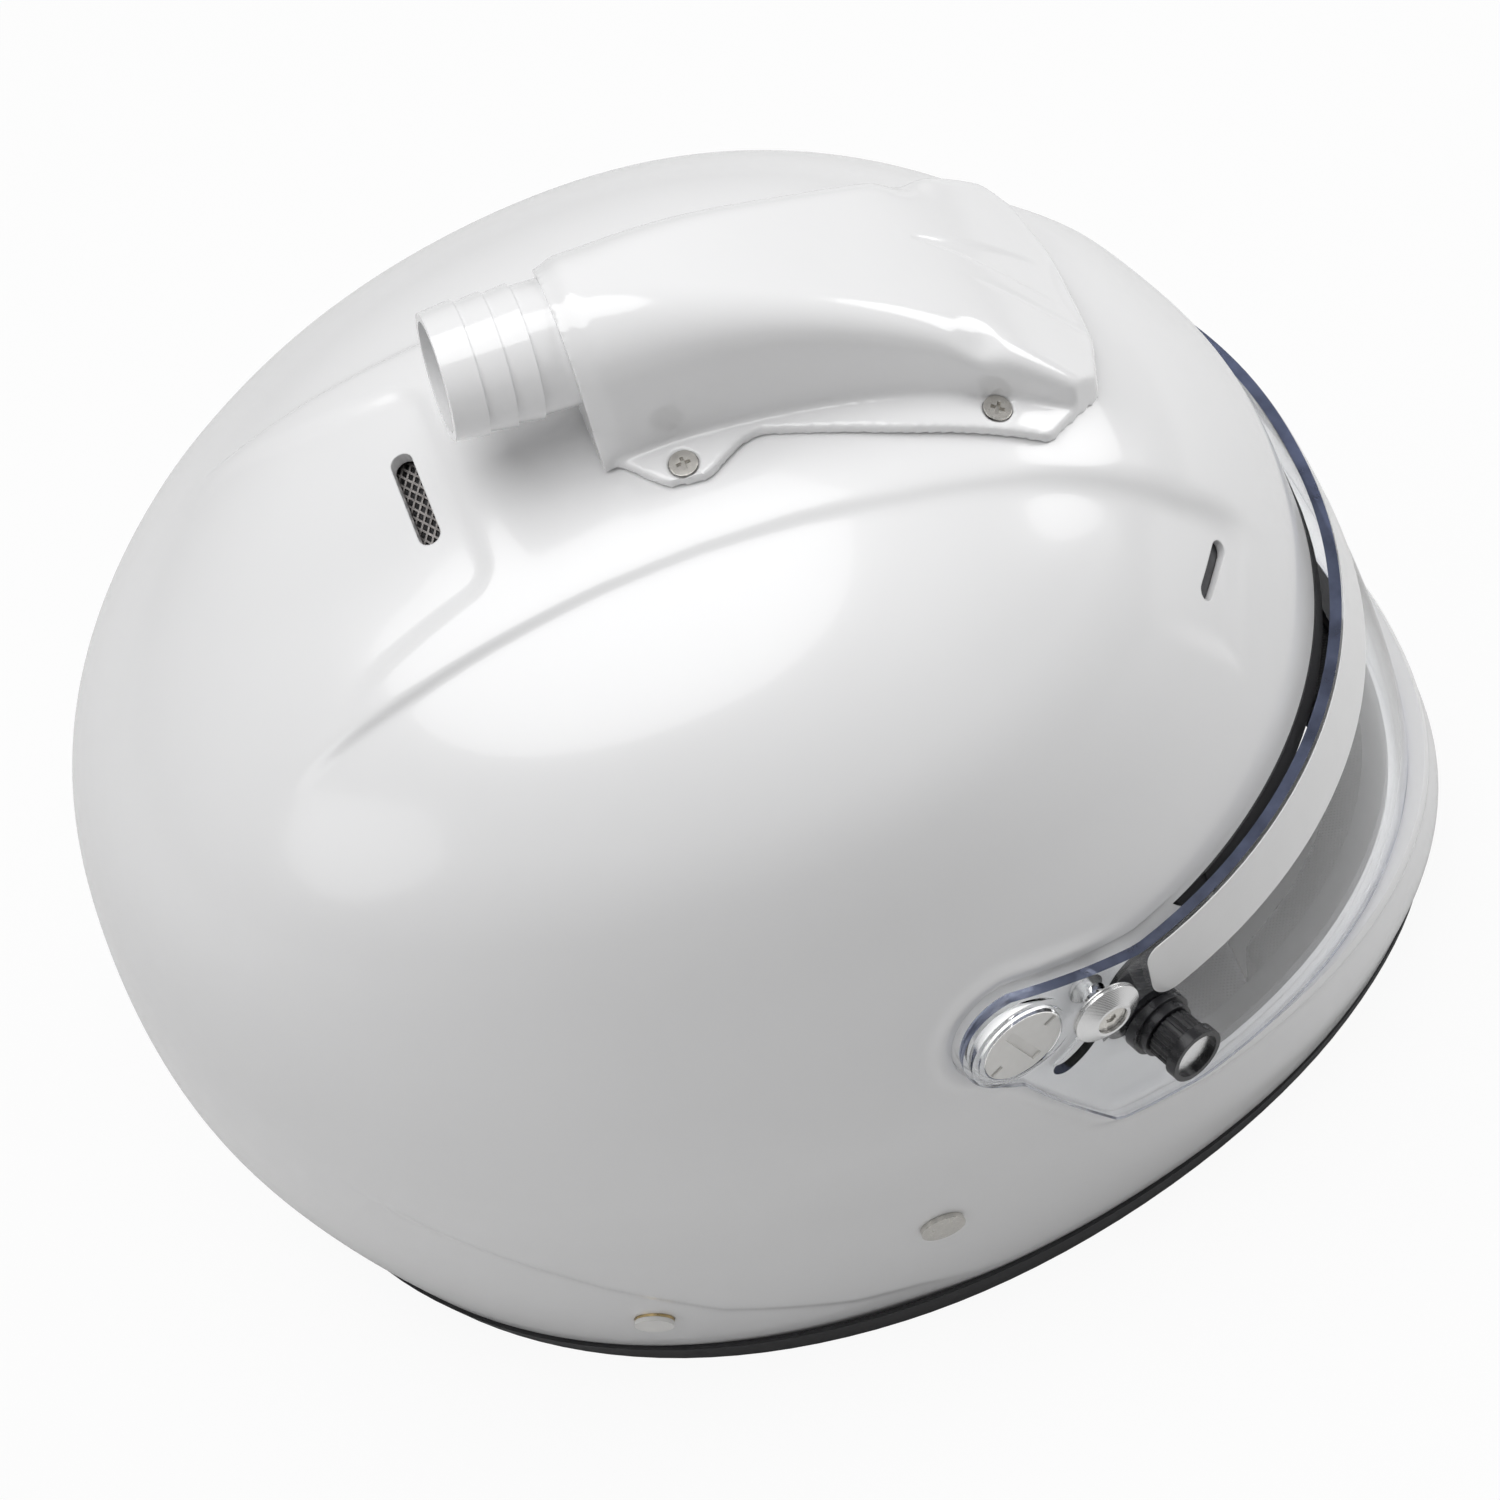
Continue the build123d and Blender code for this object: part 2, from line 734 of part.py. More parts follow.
def duct_section(place, rise, top_half, foot_half, corner, shrink):
    y = duct_rear_y - place * (duct_rear_y - duct_front_y)
    top = shell_height + rise * duct_rise - shrink
    foot = min(top - corner * duct_half_width - duct_foot_depth / 2,
               shell_height - duct_foot_depth - place * duct_rise)
    outline = rounded_outline((
        (-foot_half * duct_half_width + shrink, foot, 0),
        (foot_half * duct_half_width - shrink, foot, 0),
        (top_half * duct_half_width - shrink, top, corner * duct_half_width - shrink / 2),
        (-top_half * duct_half_width + shrink, top, corner * duct_half_width - shrink / 2),
    ))
    plane = Plane(origin=(0, y, 0), x_dir=(1, 0, 0), z_dir=(0, -1, 0))
    return (plane * outline).outer_wire()


def duct_body(shrink, stations):
    return Solid.make_loft([duct_section(*station, shrink) for station in stations])


def flange_outline():
    length = duct_rear_y - duct_front_y
    half = []
    for across, place, radius in flange_half_shares:
        x = -across * duct_half_width
        y = duct_rear_y - place * length
        half.append((x, y, radius * duct_half_width))
    return rounded_outline(mirrored_corners(half))


def make_duct(nipple_plane):
    bottom = form_solid(shell_form, -duct_base_lift)
    skin = form_solid(shell_form, -duct_base_lift - duct_flange) - bottom
    flange = skin & plan_prism(flange_outline())
    body = duct_body(0, duct_station_shares) - bottom
    front = block((-shell_height, shell_height), (-shell_height, duct_front_screw_y),
                  (0, 2 * shell_height))
    body -= front - plan_prism(flange_outline())
    cavity = duct_body(duct_wall, duct_station_shares[:5])
    cavity -= form_solid(shell_form, -duct_base_lift)
    rear_wall = block((-shell_height, shell_height),
                      (duct_rear_y - duct_wall, duct_rear_y + overrun),
                      (0, 2 * shell_height))
    duct = flange + body - (cavity - rear_wall)
    duct -= air_hole & form_solid(shell_form, -2 * duct_base_lift - duct_flange)
    duct -= drum(nipple_plane, nipple_radius + seat_clearance, -nipple_root * 2, overrun)
    for plane in duct_screw_planes:
        duct -= drum(plane, screw_shank_radius + shank_clearance, -screw_length, 0)
        duct -= drum(plane, screw_head_radius + shank_clearance,
                     -screw_head_height, overrun / 2)
    return duct


def make_duct_gasket():
    outline = offset(flange_outline(), amount=-duct_gasket_inset)
    ring = outline - offset(outline, amount=-duct_gasket_width)
    low = form_solid(shell_form, -seat_clearance)
    high = form_solid(shell_form, seat_clearance - duct_gasket_thickness)
    gasket = (high - low) & plan_prism(ring)
    for plane in duct_screw_planes:
        gasket -= drum(plane, screw_shank_radius + shank_clearance, -screw_length, 0)
    return gasket


def make_nipple(plane):
    """A barbed tube, turned about its own axis."""
    points = [(nipple_bore, -nipple_root), (nipple_radius, -nipple_root)]
    for share in barb_place_shares:
        place = share * nipple_length
        points.append((nipple_radius, place))
        points.append((barb_radius, place))
    points.append((nipple_tip_radius, nipple_length))
    points.append((nipple_bore, nipple_length))
    profile = make_face(Polyline(*points, close=True))
    return plane * revolve(Plane.XZ * profile, Axis.Z, 360)


def make_screw(plane):
    """A countersunk cross-head screw whose head lies level with the plane."""
    shank = drum(plane, screw_shank_radius, -screw_length, -screw_head_height)
    head = plane * Pos(0, 0, -screw_head_height / 2) * Cone(
        screw_shank_radius, screw_head_radius, screw_head_height)
    screw = shank + head
    for turn in (0, 90):
        screw -= plane * Rot(0, 0, turn) * Box(
            screw_cross_length, screw_cross, screw_head_height)
    return screw


def make_mesh():
    """Expanded metal: a thin plate with staggered diamond gaps."""
    length = rear_vent_length + 2 * mesh_margin
    width = rear_vent_width + 2 * mesh_margin
    plane = rear_vent_plane * Pos(0, 0, -shell_wall - mesh_set_back - mesh_thickness / 2)
    plate = Box(length, width, mesh_thickness)
    diamond = make_face(Polyline(
        (-mesh_gap_length / 2, 0), (0, -mesh_gap_width / 2),
        (mesh_gap_length / 2, 0), (0, mesh_gap_width / 2), close=True))
    gap = extrude(diamond, amount=mesh_thickness, both=True)
    rows = int((width / 2 - mesh_pitch_y / 2) / mesh_pitch_y * 2)
    columns = int((length / 2 - mesh_pitch_x) / mesh_pitch_x)
    gaps = []
    for row in range(-rows, rows + 1):
        shift = mesh_pitch_x / 2 if row % 2 else 0
        for column in range(-columns, columns + 1):
            x = column * mesh_pitch_x + shift
            y = row * mesh_pitch_y / 2
            inside = abs(x) < length / 2 - mesh_gap_length and abs(y) < width / 2 - mesh_gap_width
            if inside:
                gaps.append(Pos(x, y, 0) * gap)
    return plane * (plate - gaps)


def make_anchor_insert():
    high = -seat_clearance
    body = drum(anchor_plane, anchor_insert_radius, -anchor_insert_length, high)
    body += drum(anchor_plane, anchor_insert_flange, -anchor_insert_length,
                 -anchor_insert_length + anchor_flange_thickness)
    return body - drum(anchor_plane, anchor_thread_radius, -anchor_insert_length, high)


def make_anchor_plug():
    head = drum(anchor_plane, plug_head_radius, 0, plug_head_height)
    return head + drum(anchor_plane, plug_shank_radius, -plug_shank_length, 0)


def make_bolt():
    head = drum(bolt_plane, bolt_head_radius, seat_clearance, bolt_head_height)
    reach = bolt_plane.origin.X - strap_side_x
    return head + drum(bolt_plane, bolt_shank_radius, -reach, seat_clearance)


def make_crown_liner():
    room = inner_room(liner_clearance)
    hollow = form_solid(shell_form, shell_wall + liner_clearance + crown_liner_thickness)
    upper = block((-shell_height, shell_height), (-shell_height, shell_height),
                  (crown_liner_low_z, shell_height))
    rear = block((-shell_height, shell_height), (rear_liner_front_y, shell_height),
                 (rear_liner_low_z, crown_liner_low_z))
    liner = (room - hollow) & (upper + rear)
    liner -= side_prism(offset(eyeport_outline, amount=liner_eyeport_margin))
    return liner - air_hole - vent_pocket()


def vent_pocket():
    """Room in the liner for the mesh behind the rear slot."""
    return extrude(rear_vent_plane * SlotOverall(
        rear_vent_length + 4 * mesh_margin, rear_vent_width + 4 * mesh_margin),
        amount=2 * shell_wall, both=True)


def make_crown_pad():
    depth = shell_wall + 2 * liner_clearance + crown_liner_thickness
    outer = form_solid(shell_form, depth)
    inner = form_solid(shell_form, depth + crown_pad_thickness)
    upper = block((-shell_height, shell_height), (-shell_height, shell_height),
                  (crown_pad_low_z, shell_height))
    pad = (outer - inner) & upper
    pad -= side_prism(offset(eyeport_outline, amount=liner_eyeport_margin))
    return pad - air_hole


def make_chin_liner():
    room = inner_room(liner_clearance)
    hollow = form_solid(shell_form, shell_wall + liner_clearance + chin_liner_thickness)
    zone = block((-shell_height, shell_height), (-shell_height, chin_liner_rear_y),
                 (chin_liner_low_z, chin_liner_top_z))
    return (room - hollow) & zone


def make_cheek_pad():
    room = inner_room(liner_clearance)
    hollow = form_solid(shell_form, shell_wall + liner_clearance + cheek_pad_thickness)
    zone = block((0, shell_height),
                 (chin_liner_rear_y + liner_clearance, rear_liner_front_y - liner_clearance),
                 (cheek_pad_low_z, crown_liner_low_z - liner_clearance))
    pad = (room - hollow) & zone
    pad -= side_prism(offset(eyeport_outline, amount=liner_eyeport_margin))
    return pad - strap_channel()


def strap_channel():
    """Room for the webbing and its bolt between the pad and the shell."""
    return block((strap_side_x - strap_thickness - strap_bend_radius / 4, shell_height),
                 (bolt_y - strap_width / 2 - liner_clearance,
                  bolt_y + strap_width / 2 + liner_clearance),
                 (0, strap_top_z + liner_clearance))


def make_neck_roll():
    room = form_solid(shell_form, shell_wall + trim_thickness + liner_clearance)
    hollow = form_solid(shell_form, shell_wall + neck_roll_thickness)
    zone = block((-shell_height, shell_height), (rear_liner_front_y, shell_height),
                 (neck_roll_low_z, rear_liner_low_z - liner_clearance))
    roll = (room - hollow) & zone
    clear = drum(anchor_plane, anchor_insert_flange + liner_clearance,
                 -anchor_insert_length - liner_clearance, overrun)
    return roll - clear - mirrored(clear)


def strap_solid(end_x, with_loop):
    """Webbing down one side from its bolt and inward along the table."""
    low = strap_rest_z
    high = strap_rest_z + strap_thickness
    outer_x = strap_side_x
    inner_x = strap_side_x - strap_thickness
    outline = rounded_outline((
        (outer_x, strap_top_z, 0),
        (inner_x, strap_top_z, 0),
        (inner_x, high, strap_bend_radius - strap_thickness),
        (end_x, high, 0),
        (end_x, low, 0),
        (outer_x, low, strap_bend_radius),
    ))
    profile = Plane(origin=(0, bolt_y, 0), x_dir=(1, 0, 0), z_dir=(0, -1, 0))
    strap = extrude(profile * outline, amount=strap_width / 2, both=True)
    if with_loop:
        radius = loop_hole_radius + strap_thickness
        centre = profile * Pos(end_x, strap_rest_z + radius, 0)
        strap += centre * Cylinder(radius, strap_width)
        strap -= centre * Cylinder(loop_hole_radius, strap_width * 2)
    strap -= drum(bolt_plane, bolt_shank_radius + bolt_shank_clearance,
                  -bolt_plane.origin.X, 0)
    return strap


def make_ring(level):
    """A flat D-shaped ring whose straight bar lies in the strap's loop."""
    radius = loop_hole_radius + strap_thickness
    centre_z = strap_rest_z + radius + level * (ring_wire + ring_gap) / 2
    bar_x = left_strap_end_x + ring_wire / 2
    outline = rounded_outline((
        (bar_x, bolt_y - ring_width / 2, ring_wire / 2),
        (bar_x, bolt_y + ring_width / 2, ring_wire / 2),
        (bar_x - ring_length, bolt_y + ring_width / 2, ring_corner_radius),
        (bar_x - ring_length, bolt_y - ring_width / 2, ring_corner_radius),
    ))
    ring = outline - offset(outline, amount=-ring_wire)
    return extrude(Pos(0, 0, centre_z) * ring, amount=ring_wire / 2, both=True)


def make_snap():
    """The snap's two caps, joined by their post through the webbing."""
    centre = Plane(origin=(right_strap_end_x - snap_inset, bolt_y, 0))
    top = strap_rest_z + strap_thickness
    cap = drum(centre, snap_radius, top + seat_clearance, top + snap_height)
    return cap + drum(centre, snap_hole_radius, strap_rest_z, top + seat_clearance)


def make_all():
    pieces = {}
    shell = make_shell()
    pieces["outer_shell"] = shell
    pieces["base_trim"] = make_trim(shell)
    pieces["lock_catch"] = make_catch(shell)
    pieces["eyeport_gasket"] = make_gasket(shell)
    pieces["visor"] = make_visor()
    pieces["sun_strip"] = make_strip()
    pieces.update(both_sides("pivot_screw", make_pivot_screw()))
    pieces.update(both_sides("pivot_hub", make_hub()))
    pieces.update(both_sides("guide_post", make_post()))
    pieces.update(both_sides("guide_screw", make_post_screw()))
    pieces["lock_base"] = make_lock_base()
    pieces["lock_knob"] = make_knob()
    pieces["lock_cap"] = make_cap()
    pieces["lock_cam"] = make_cam()
    tilt = math.radians(nipple_tilt)
    nipple_plane = Plane(origin=(0, duct_rear_y, nipple_z), x_dir=(1, 0, 0),
                         z_dir=(0, math.cos(tilt), math.sin(tilt)))
    pieces["air_duct"] = make_duct(nipple_plane)
    pieces["duct_nipple"] = make_nipple(nipple_plane)
    pieces["duct_gasket"] = make_duct_gasket()
    pieces["duct_screws"] = Compound([make_screw(plane).solid() for plane in duct_screw_planes])
    pieces["rear_vent_mesh"] = make_mesh()
    pieces.update(both_sides("anchor_insert", make_anchor_insert()))
    pieces.update(both_sides("anchor_plug", make_anchor_plug()))
    pieces.update(both_sides("strap_bolt", make_bolt()))
    pieces["crown_liner"] = make_crown_liner()
    pieces["crown_pad"] = make_crown_pad()
    pieces["chin_liner"] = make_chin_liner()
    pieces.update(both_sides("cheek_pad", make_cheek_pad()))
    pieces["neck_roll"] = make_neck_roll()
    pieces["chin_strap_left"] = strap_solid(left_strap_end_x, True)
    right_strap = mirrored(strap_solid(-right_strap_end_x, False))
    snap_hole = Plane(origin=(right_strap_end_x - snap_inset, bolt_y, 0))
    right_strap -= drum(snap_hole, snap_hole_radius + seat_clearance, -strap_top_z, strap_top_z)
    pieces["chin_strap_right"] = right_strap
    pieces["strap_snap"] = make_snap()
    pieces["d_ring_inner"] = make_ring(-1)
    pieces["d_ring_outer"] = make_ring(1)
    return pieces


def main():
    os.makedirs("parts", exist_ok=True)
    for name, solid in make_all().items():
        solid.label = name
        export_step(solid, "parts/" + name + ".step")


main()
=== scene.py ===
import bpy
import bmesh
import json
import math
import numpy as np
from mathutils import Matrix, Vector


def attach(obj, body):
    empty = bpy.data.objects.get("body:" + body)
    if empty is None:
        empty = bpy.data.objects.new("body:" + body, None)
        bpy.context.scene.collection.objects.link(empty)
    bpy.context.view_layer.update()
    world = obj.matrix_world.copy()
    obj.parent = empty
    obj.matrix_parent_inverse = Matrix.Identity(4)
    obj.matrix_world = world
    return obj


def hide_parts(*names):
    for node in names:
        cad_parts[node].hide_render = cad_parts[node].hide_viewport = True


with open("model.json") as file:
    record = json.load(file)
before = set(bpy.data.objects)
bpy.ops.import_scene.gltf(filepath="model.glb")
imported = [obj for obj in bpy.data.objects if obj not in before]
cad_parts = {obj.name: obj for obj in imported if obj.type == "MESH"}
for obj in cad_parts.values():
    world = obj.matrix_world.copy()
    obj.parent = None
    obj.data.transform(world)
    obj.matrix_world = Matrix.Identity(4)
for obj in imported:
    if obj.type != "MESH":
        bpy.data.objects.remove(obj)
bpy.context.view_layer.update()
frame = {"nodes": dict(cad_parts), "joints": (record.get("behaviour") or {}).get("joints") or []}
nodes = frame["nodes"]

# Lengths are in millimetres unless a comment says otherwise; MM turns them into Blender's metres
MM = 0.001
SIDES = (1, -1)

# Camera, solved from the photograph (metres)
camera_azimuth = math.radians(263.63)
camera_elevation = math.radians(53.91)
camera_roll = math.radians(-15.49)
camera_distance = 1.34192
camera_target = Vector((0.0, -0.005, 0.130))
camera_lens = 129.47
camera_shift = (-0.01701, -0.03743)

# Helmet form, as in the part's source. A table holds one share per 15 degrees above the base.
TABLE_STEP = 15
HEIGHT = 258
FRONT = 173
REAR = 140
HALF = 105
CENTRE_Y = 4.5
WALL = 4.5
front_shares = (0.985, 1.004, 0.994, 1.130, 1.290, 1.555, 1.51)
visor_front_shares = (0.960, 0.987, 1.041, 1.149, 1.295, 1.555, 1.51)
rear_shares = (1.0, 1.193, 1.375, 1.582, 1.771, 2.017, 2.28)
width_shares = (1.0, 1.143, 1.391, 1.595, 1.895, 2.133, 2.143)
front_powers = (1.9, 2.3, 2.12, 1.95, 1.92, 2.0, 2.0)
visor_powers = (1.9, 2.2, 2.15, 2.1, 2.0, 2.0, 2.0)
rear_powers = (2.0, 2.14, 2.16, 2.1, 2.1, 2.1, 2.06)
visor_side_gain = 4
shell_form = (front_shares, front_powers, 0)
visor_form = (visor_front_shares, visor_powers, visor_side_gain)

# Shield, its pivots and its lock, as in the part's source
joint_places = {joint["name"]: [value / MM for value in joint["pos_m"]]
                for joint in frame["joints"]}
PIVOT = tuple(joint_places["visor_hinge"][1:])
lock_place = joint_places["lock_turn"]
lock_lean = math.radians(22)
lock_hole_radius = 4.8
visor_wall = 3
recess_margin = 1.5
recess_depth = 6
arm_radius = 15
arm_low_turn = 55
pivot_face_x = 129.2
pivot_lean = math.radians(14)
pivot_hole_radius = 3.15
hub_hole_radius = 7.8
coin_radius = 10.3
coin_edge = 1
coin_clearance = 0.3
boss_radius = 13.6
boss_inner_radius = 11.9
boss_step = 0.8
boss_floor = 0.8
boss_clearance = 0.4
coin_floor_x = pivot_face_x - coin_radius * math.tan(pivot_lean) - coin_edge - coin_clearance
boss_low_x = coin_floor_x - boss_floor
arc_radius = 19.8
arc_half_width = 3.0
arc_start = 177.5
arc_sweep = 66

# Outlines seen from the side: (y, z, corner radius)
beyond_front = -233
arm_end = [(PIVOT[0] + arm_radius * math.cos(turn), PIVOT[1] + arm_radius * math.sin(turn), 0)
           for turn in np.radians(np.linspace(90, -arm_low_turn, 37))]
visor_corners = [(beyond_front, 60, 0), (beyond_front, 148, 0), (-58, 148, arm_radius), *arm_end,
                 (-23, 125, 4), (-45.5, 74.5, 7), (-70, 67, arm_radius)]
eyeport_corners = ((beyond_front, 71, 0), (beyond_front, 143, 0), (-46, 143, 12), (-46, 116, 5),
                   (-63, 111, 5), (-69, 76, 12))

# Holes in the shell
strap_bolt_place, strap_bolt_hole = (3, 52.3), 2.6
anchor_place, anchor_hole = (78, 32), 5.1
front_slot_place, front_slot_along, front_slot_size = (59.2, -107.1), (0.833, 0.553), (16.5, 5)
rear_slot_y, rear_slot_size = 63.5, (28, 5.5)
air_hole_y, air_hole_size = -22, (40, 22)
tool_reach = 9

# Moulded details of the shell: heights, and the ranges over which they come and go
crest_y = (-118, -103, -89, -76, -62, -39, -16, 8, 32, 57, 78, 99, 112)
crest_x = (46, 48, 48, 48, 48, 47, 45, 44, 44, 45, 46, 46.5, 47)
crest_height, crest_reach = 1.05, 30
crest_width, crest_narrowing, crest_narrows = 2.4, 1.3, (0, 90)
crest_starts, crest_ends, crest_above = (-126, -108), (88, 116), (150, 185)
rear_pocket_corners = ((-31, 53, 8), (31, 53, 8), (37, 84, 20), (46, 108, 20), (0, 150, 30),
                       (-46, 108, 20), (-37, 84, 20))
rear_pocket_depth, rear_pocket_edge, rear_pocket_fades = 1.5, (-3.5, 2.0), (72, 118)
front_pocket_depth, front_pocket_edge = 1.3, (-3.5, 1.5)
front_pocket_fades, front_pocket_inner = (-104, -84), (42, 52)
crown_low_z = 150
low_line_y = (-5, 12, 29, 61, 87, 103, 127, 140)
low_line_z = (12, 18, 21, 35, 60, 79, 108, 124)
low_line_height, low_line_width, low_line_reach, low_line_top = 0.45, 2.0, 30, 140
low_line_starts, low_line_ends = (-14, 20), (118, 140)
chin_height, chin_z, chin_spread, chin_top, chin_starts = 2.6, 38, 17, 100, (40, 105)
bead_height, bead_away, bead_width = 0.9, 2.6, 2.4
bead_top_z, bead_top_y, bead_rear_y = (138, 150), (-58, -40), 10

# Duct
duct_voxel, duct_smoothing = 0.7, 7
wedge_tip, wedge_length, wedge_depth, wedge_end = -64.0, 31.0, 0.7, -96.5
roof_low_z = 228
crease_depth, crease_width, crease_x, crease_slope = 0.35, 1.2, -1.5, 0.35
dimple_place, dimple_depth, dimple_radius, dimple_low_z = (26.5, -67.5), 3.2, 4.8, 246
shoulder_y, shoulder_z, shoulder_middle_z, shoulder_draw = (12.5, 21), (262, 270), 284, 0.10
flange_height = 4
duct_screws = ((33, -68), (-33, -68), (25, 4), (-25, 4))
screw_seat_radius, screw_seat_depth, screw_hole_radius = 3.6, 1.9, 1.75
mouth_centre, mouth_radius, mouth_tilt = (0, 21, 286), 15.15, math.radians(6)

# Soft pieces and webbing
cushion_voxels = {"cheek_pad_left": 3.0, "cheek_pad_right": 3.0, "chin_liner": 3.0,
                  "neck_roll": 3.0, "crown_pad": 4.0}
cushion_shrink, cushion_cap, cushion_smoothing, cushion_frames = 1.4, 1.2, 4, 12
cloth_values = dict(quality=4, mass=0.3, tension_stiffness=18, compression_stiffness=18,
                    shear_stiffness=8, bending_stiffness=1.5, use_pressure=True,
                    uniform_pressure_force=4.0)
webbing_width, webbing_thickness, webbing_step = 24.0, 1.6, 1.2
strap_centre_y, strap_top_z, strap_low_z = 3.0, 60.0, 0.3
strap_outer_x, strap_bend = 96.0, 6.0
ring_radius = 3.2


def link(name, data):
    """A new object in the scene."""
    item = bpy.data.objects.new(name, data)
    bpy.context.scene.collection.objects.link(item)
    return item


def add_camera():
    back = Vector((math.sin(camera_azimuth) * math.cos(camera_elevation),
                   -math.cos(camera_azimuth) * math.cos(camera_elevation),
                   math.sin(camera_elevation)))
    right = Vector((math.cos(camera_azimuth), math.sin(camera_azimuth), 0))
    up = back.cross(right)
    turned_right = right * math.cos(camera_roll) + up * math.sin(camera_roll)
    turned_up = up * math.cos(camera_roll) - right * math.sin(camera_roll)
    data = bpy.data.cameras.new("camera")
    data.sensor_width = 36
    data.lens = camera_lens
    data.shift_x, data.shift_y = camera_shift
    data.clip_start, data.clip_end = 0.05, 20
    camera = link("camera", data)
    rows = Matrix((turned_right, turned_up, back)).transposed().to_4x4()
    camera.matrix_world = Matrix.Translation(camera_target + back * camera_distance) @ rows
    bpy.context.scene.camera = camera


# Helmet form
def along(table, angle):
    """Smooth value between a table's entries at an angle above the base."""
    place = np.asarray(angle, float) / TABLE_STEP
    index = np.clip(place.astype(int), 0, len(table) - 2)
    part = place - index
    grown = np.array([2 * table[0] - table[1], *table, 2 * table[-1] - table[-2]])
    before, here = grown[index], grown[index + 1]
    after, beyond = grown[index + 2], grown[index + 3]
    square, cube = part ** 2, part ** 3
    value = (2 * cube - 3 * square + 1) * here + (3 * square - 2 * cube) * after
    return (value + (cube - 2 * square + part) * (after - before) / 2
            + (cube - square) * (beyond - here) / 2)


def form_radius(form, inset, angle, bearing):
    """Distance from the form's centre line at an angle above the base and a bearing from +Y."""
    fronts, powers, gain = form
    shrink = np.cos(np.radians(angle))
    front = (FRONT * along(fronts, angle) - inset) * shrink
    rear = (REAR * along(rear_shares, angle) - inset) * shrink
    half = (HALF * along(width_shares, angle) - inset) * shrink + gain
    ahead, across = np.cos(np.radians(bearing)), np.sin(np.radians(bearing))
    blend = ahead * (3 - ahead ** 2) / 2
    reach = (front + rear) / 2 + (rear - front) / 2 * blend
    first, last = along(powers, angle), along(rear_powers, angle)
    power = (first + last) / 2 + (last - first) / 2 * blend
    reach, half = np.maximum(reach, 1e-6), np.maximum(half, 1e-6)
    return ((np.abs(ahead) / reach) ** power + (np.abs(across) / half) ** power) ** (-1 / power)


def form_points(form, inset, angle, bearing):
    radius = form_radius(form, inset, angle, bearing)
    turn = np.radians(bearing)
    height = (HEIGHT - inset) * np.sin(np.radians(angle))
    x, y = radius * np.sin(turn), CENTRE_Y + radius * np.cos(turn)
    return np.stack(np.broadcast_arrays(x, y, height), axis=-1)


def tangent(form, inset, angle, bearing, nudge=0.2):
    """Point and outward normal of a form."""
    here = Vector(form_points(form, inset, angle, bearing))
    upward = Vector(form_points(form, inset, angle + nudge, bearing)) - here
    sideways = Vector(form_points(form, inset, angle, bearing + nudge)) - here
    return here, upward.cross(sideways).normalized()


def halve(low, high, goes_up, rounds=40):
    """The value between low and high at which goes_up turns false."""
    for _ in range(rounds):
        middle = (low + high) / 2
        if goes_up(middle):
            low = middle
        else:
            high = middle
    return low


def surface_at(form, inset, x, y):
    """Point and normal of a form's surface above (x, y)."""
    bearing = math.degrees(math.atan2(x, y - CENTRE_Y))
    distance = math.hypot(x, y - CENTRE_Y)
    angle = halve(0.0, 89.9, lambda tried: form_radius(form, inset, tried, bearing) > distance)
    return tangent(form, inset, angle, bearing)


def side_at(form, inset, y, z):
    """Point and normal on the left side of a form at (y, z)."""
    angle = math.degrees(math.asin(z / (HEIGHT - inset)))
    bearing = halve(1.0, 179.0, lambda tried: form_points(form, inset, angle, tried)[1] > y)
    return tangent(form, inset, angle, bearing)


# Meshes
def new_object(name, verts, faces, material=None, smooth=True):
    """A mesh object from points in millimetres."""
    mesh = bpy.data.meshes.new(name)
    mesh.from_pydata([tuple(v) for v in np.asarray(verts, float) * MM], [], faces)
    mesh.validate()
    if smooth:
        mesh.shade_smooth()
    if material:
        mesh.materials.append(material)
    return link(name, mesh)


def edit_mesh(item, change):
    """Runs a change on a piece's mesh."""
    work = bmesh.new()
    work.from_mesh(item.data)
    change(work)
    work.to_mesh(item.data)
    work.free()


def tidy_normals(item):
    edit_mesh(item, lambda work: bmesh.ops.recalc_face_normals(work, faces=work.faces))


def sharpen(item, degrees):
    """Smooth shading with sharp edges kept above an angle."""
    limit = math.radians(degrees)

    def mark(work):
        for face in work.faces:
            face.smooth = True
        for edge in work.edges:
            edge.smooth = len(edge.link_faces) != 2 or edge.calc_face_angle(0) < limit

    edit_mesh(item, mark)


def grid_faces(rows, columns):
    """Faces of a closed ring of columns, row by row."""
    faces = []
    for i in range(rows - 1):
        for j in range(columns):
            k = (j + 1) % columns
            faces.append((i * columns + j, i * columns + k,
                          (i + 1) * columns + k, (i + 1) * columns + j))
    return faces


def dome(name, form, inset, low_z, around, levels, shape=None, material=None):
    """Closed solid inside a form, from a flat bottom at low_z to the crown."""
    start = math.degrees(math.asin(low_z / (HEIGHT - inset)))
    top = 89.4
    angles = start + (top - start) * np.linspace(0, 1, levels)
    bearings = np.arange(around) * 360 / around
    points = form_points(form, inset, angles[:, None], bearings[None, :])
    if shape:
        points = shape(points)
    verts = points.reshape(-1, 3)
    faces = [tuple(reversed(face)) for face in grid_faces(levels, around)]
    crown = len(verts)
    verts = np.vstack([verts, [[0, CENTRE_Y, HEIGHT - inset]]])
    last = (levels - 1) * around
    for j in range(around):
        faces.append((last + (j + 1) % around, last + j, crown))
    faces.append(tuple(range(around)))
    return new_object(name, verts, faces, material)


def prism(name, outline, low, high, plane, material=None):
    """Solid from a closed outline of (u, v) points; plane maps (u, v, w) to a point."""
    count = len(outline)
    verts = [plane(u, v, w) for w in (low, high) for u, v in outline]
    faces = [(i, (i + 1) % count, count + (i + 1) % count, count + i) for i in range(count)]
    faces += [tuple(reversed(range(count))), tuple(range(count, 2 * count))]
    item = new_object(name, verts, faces, material, smooth=False)
    tidy_normals(item)
    return item


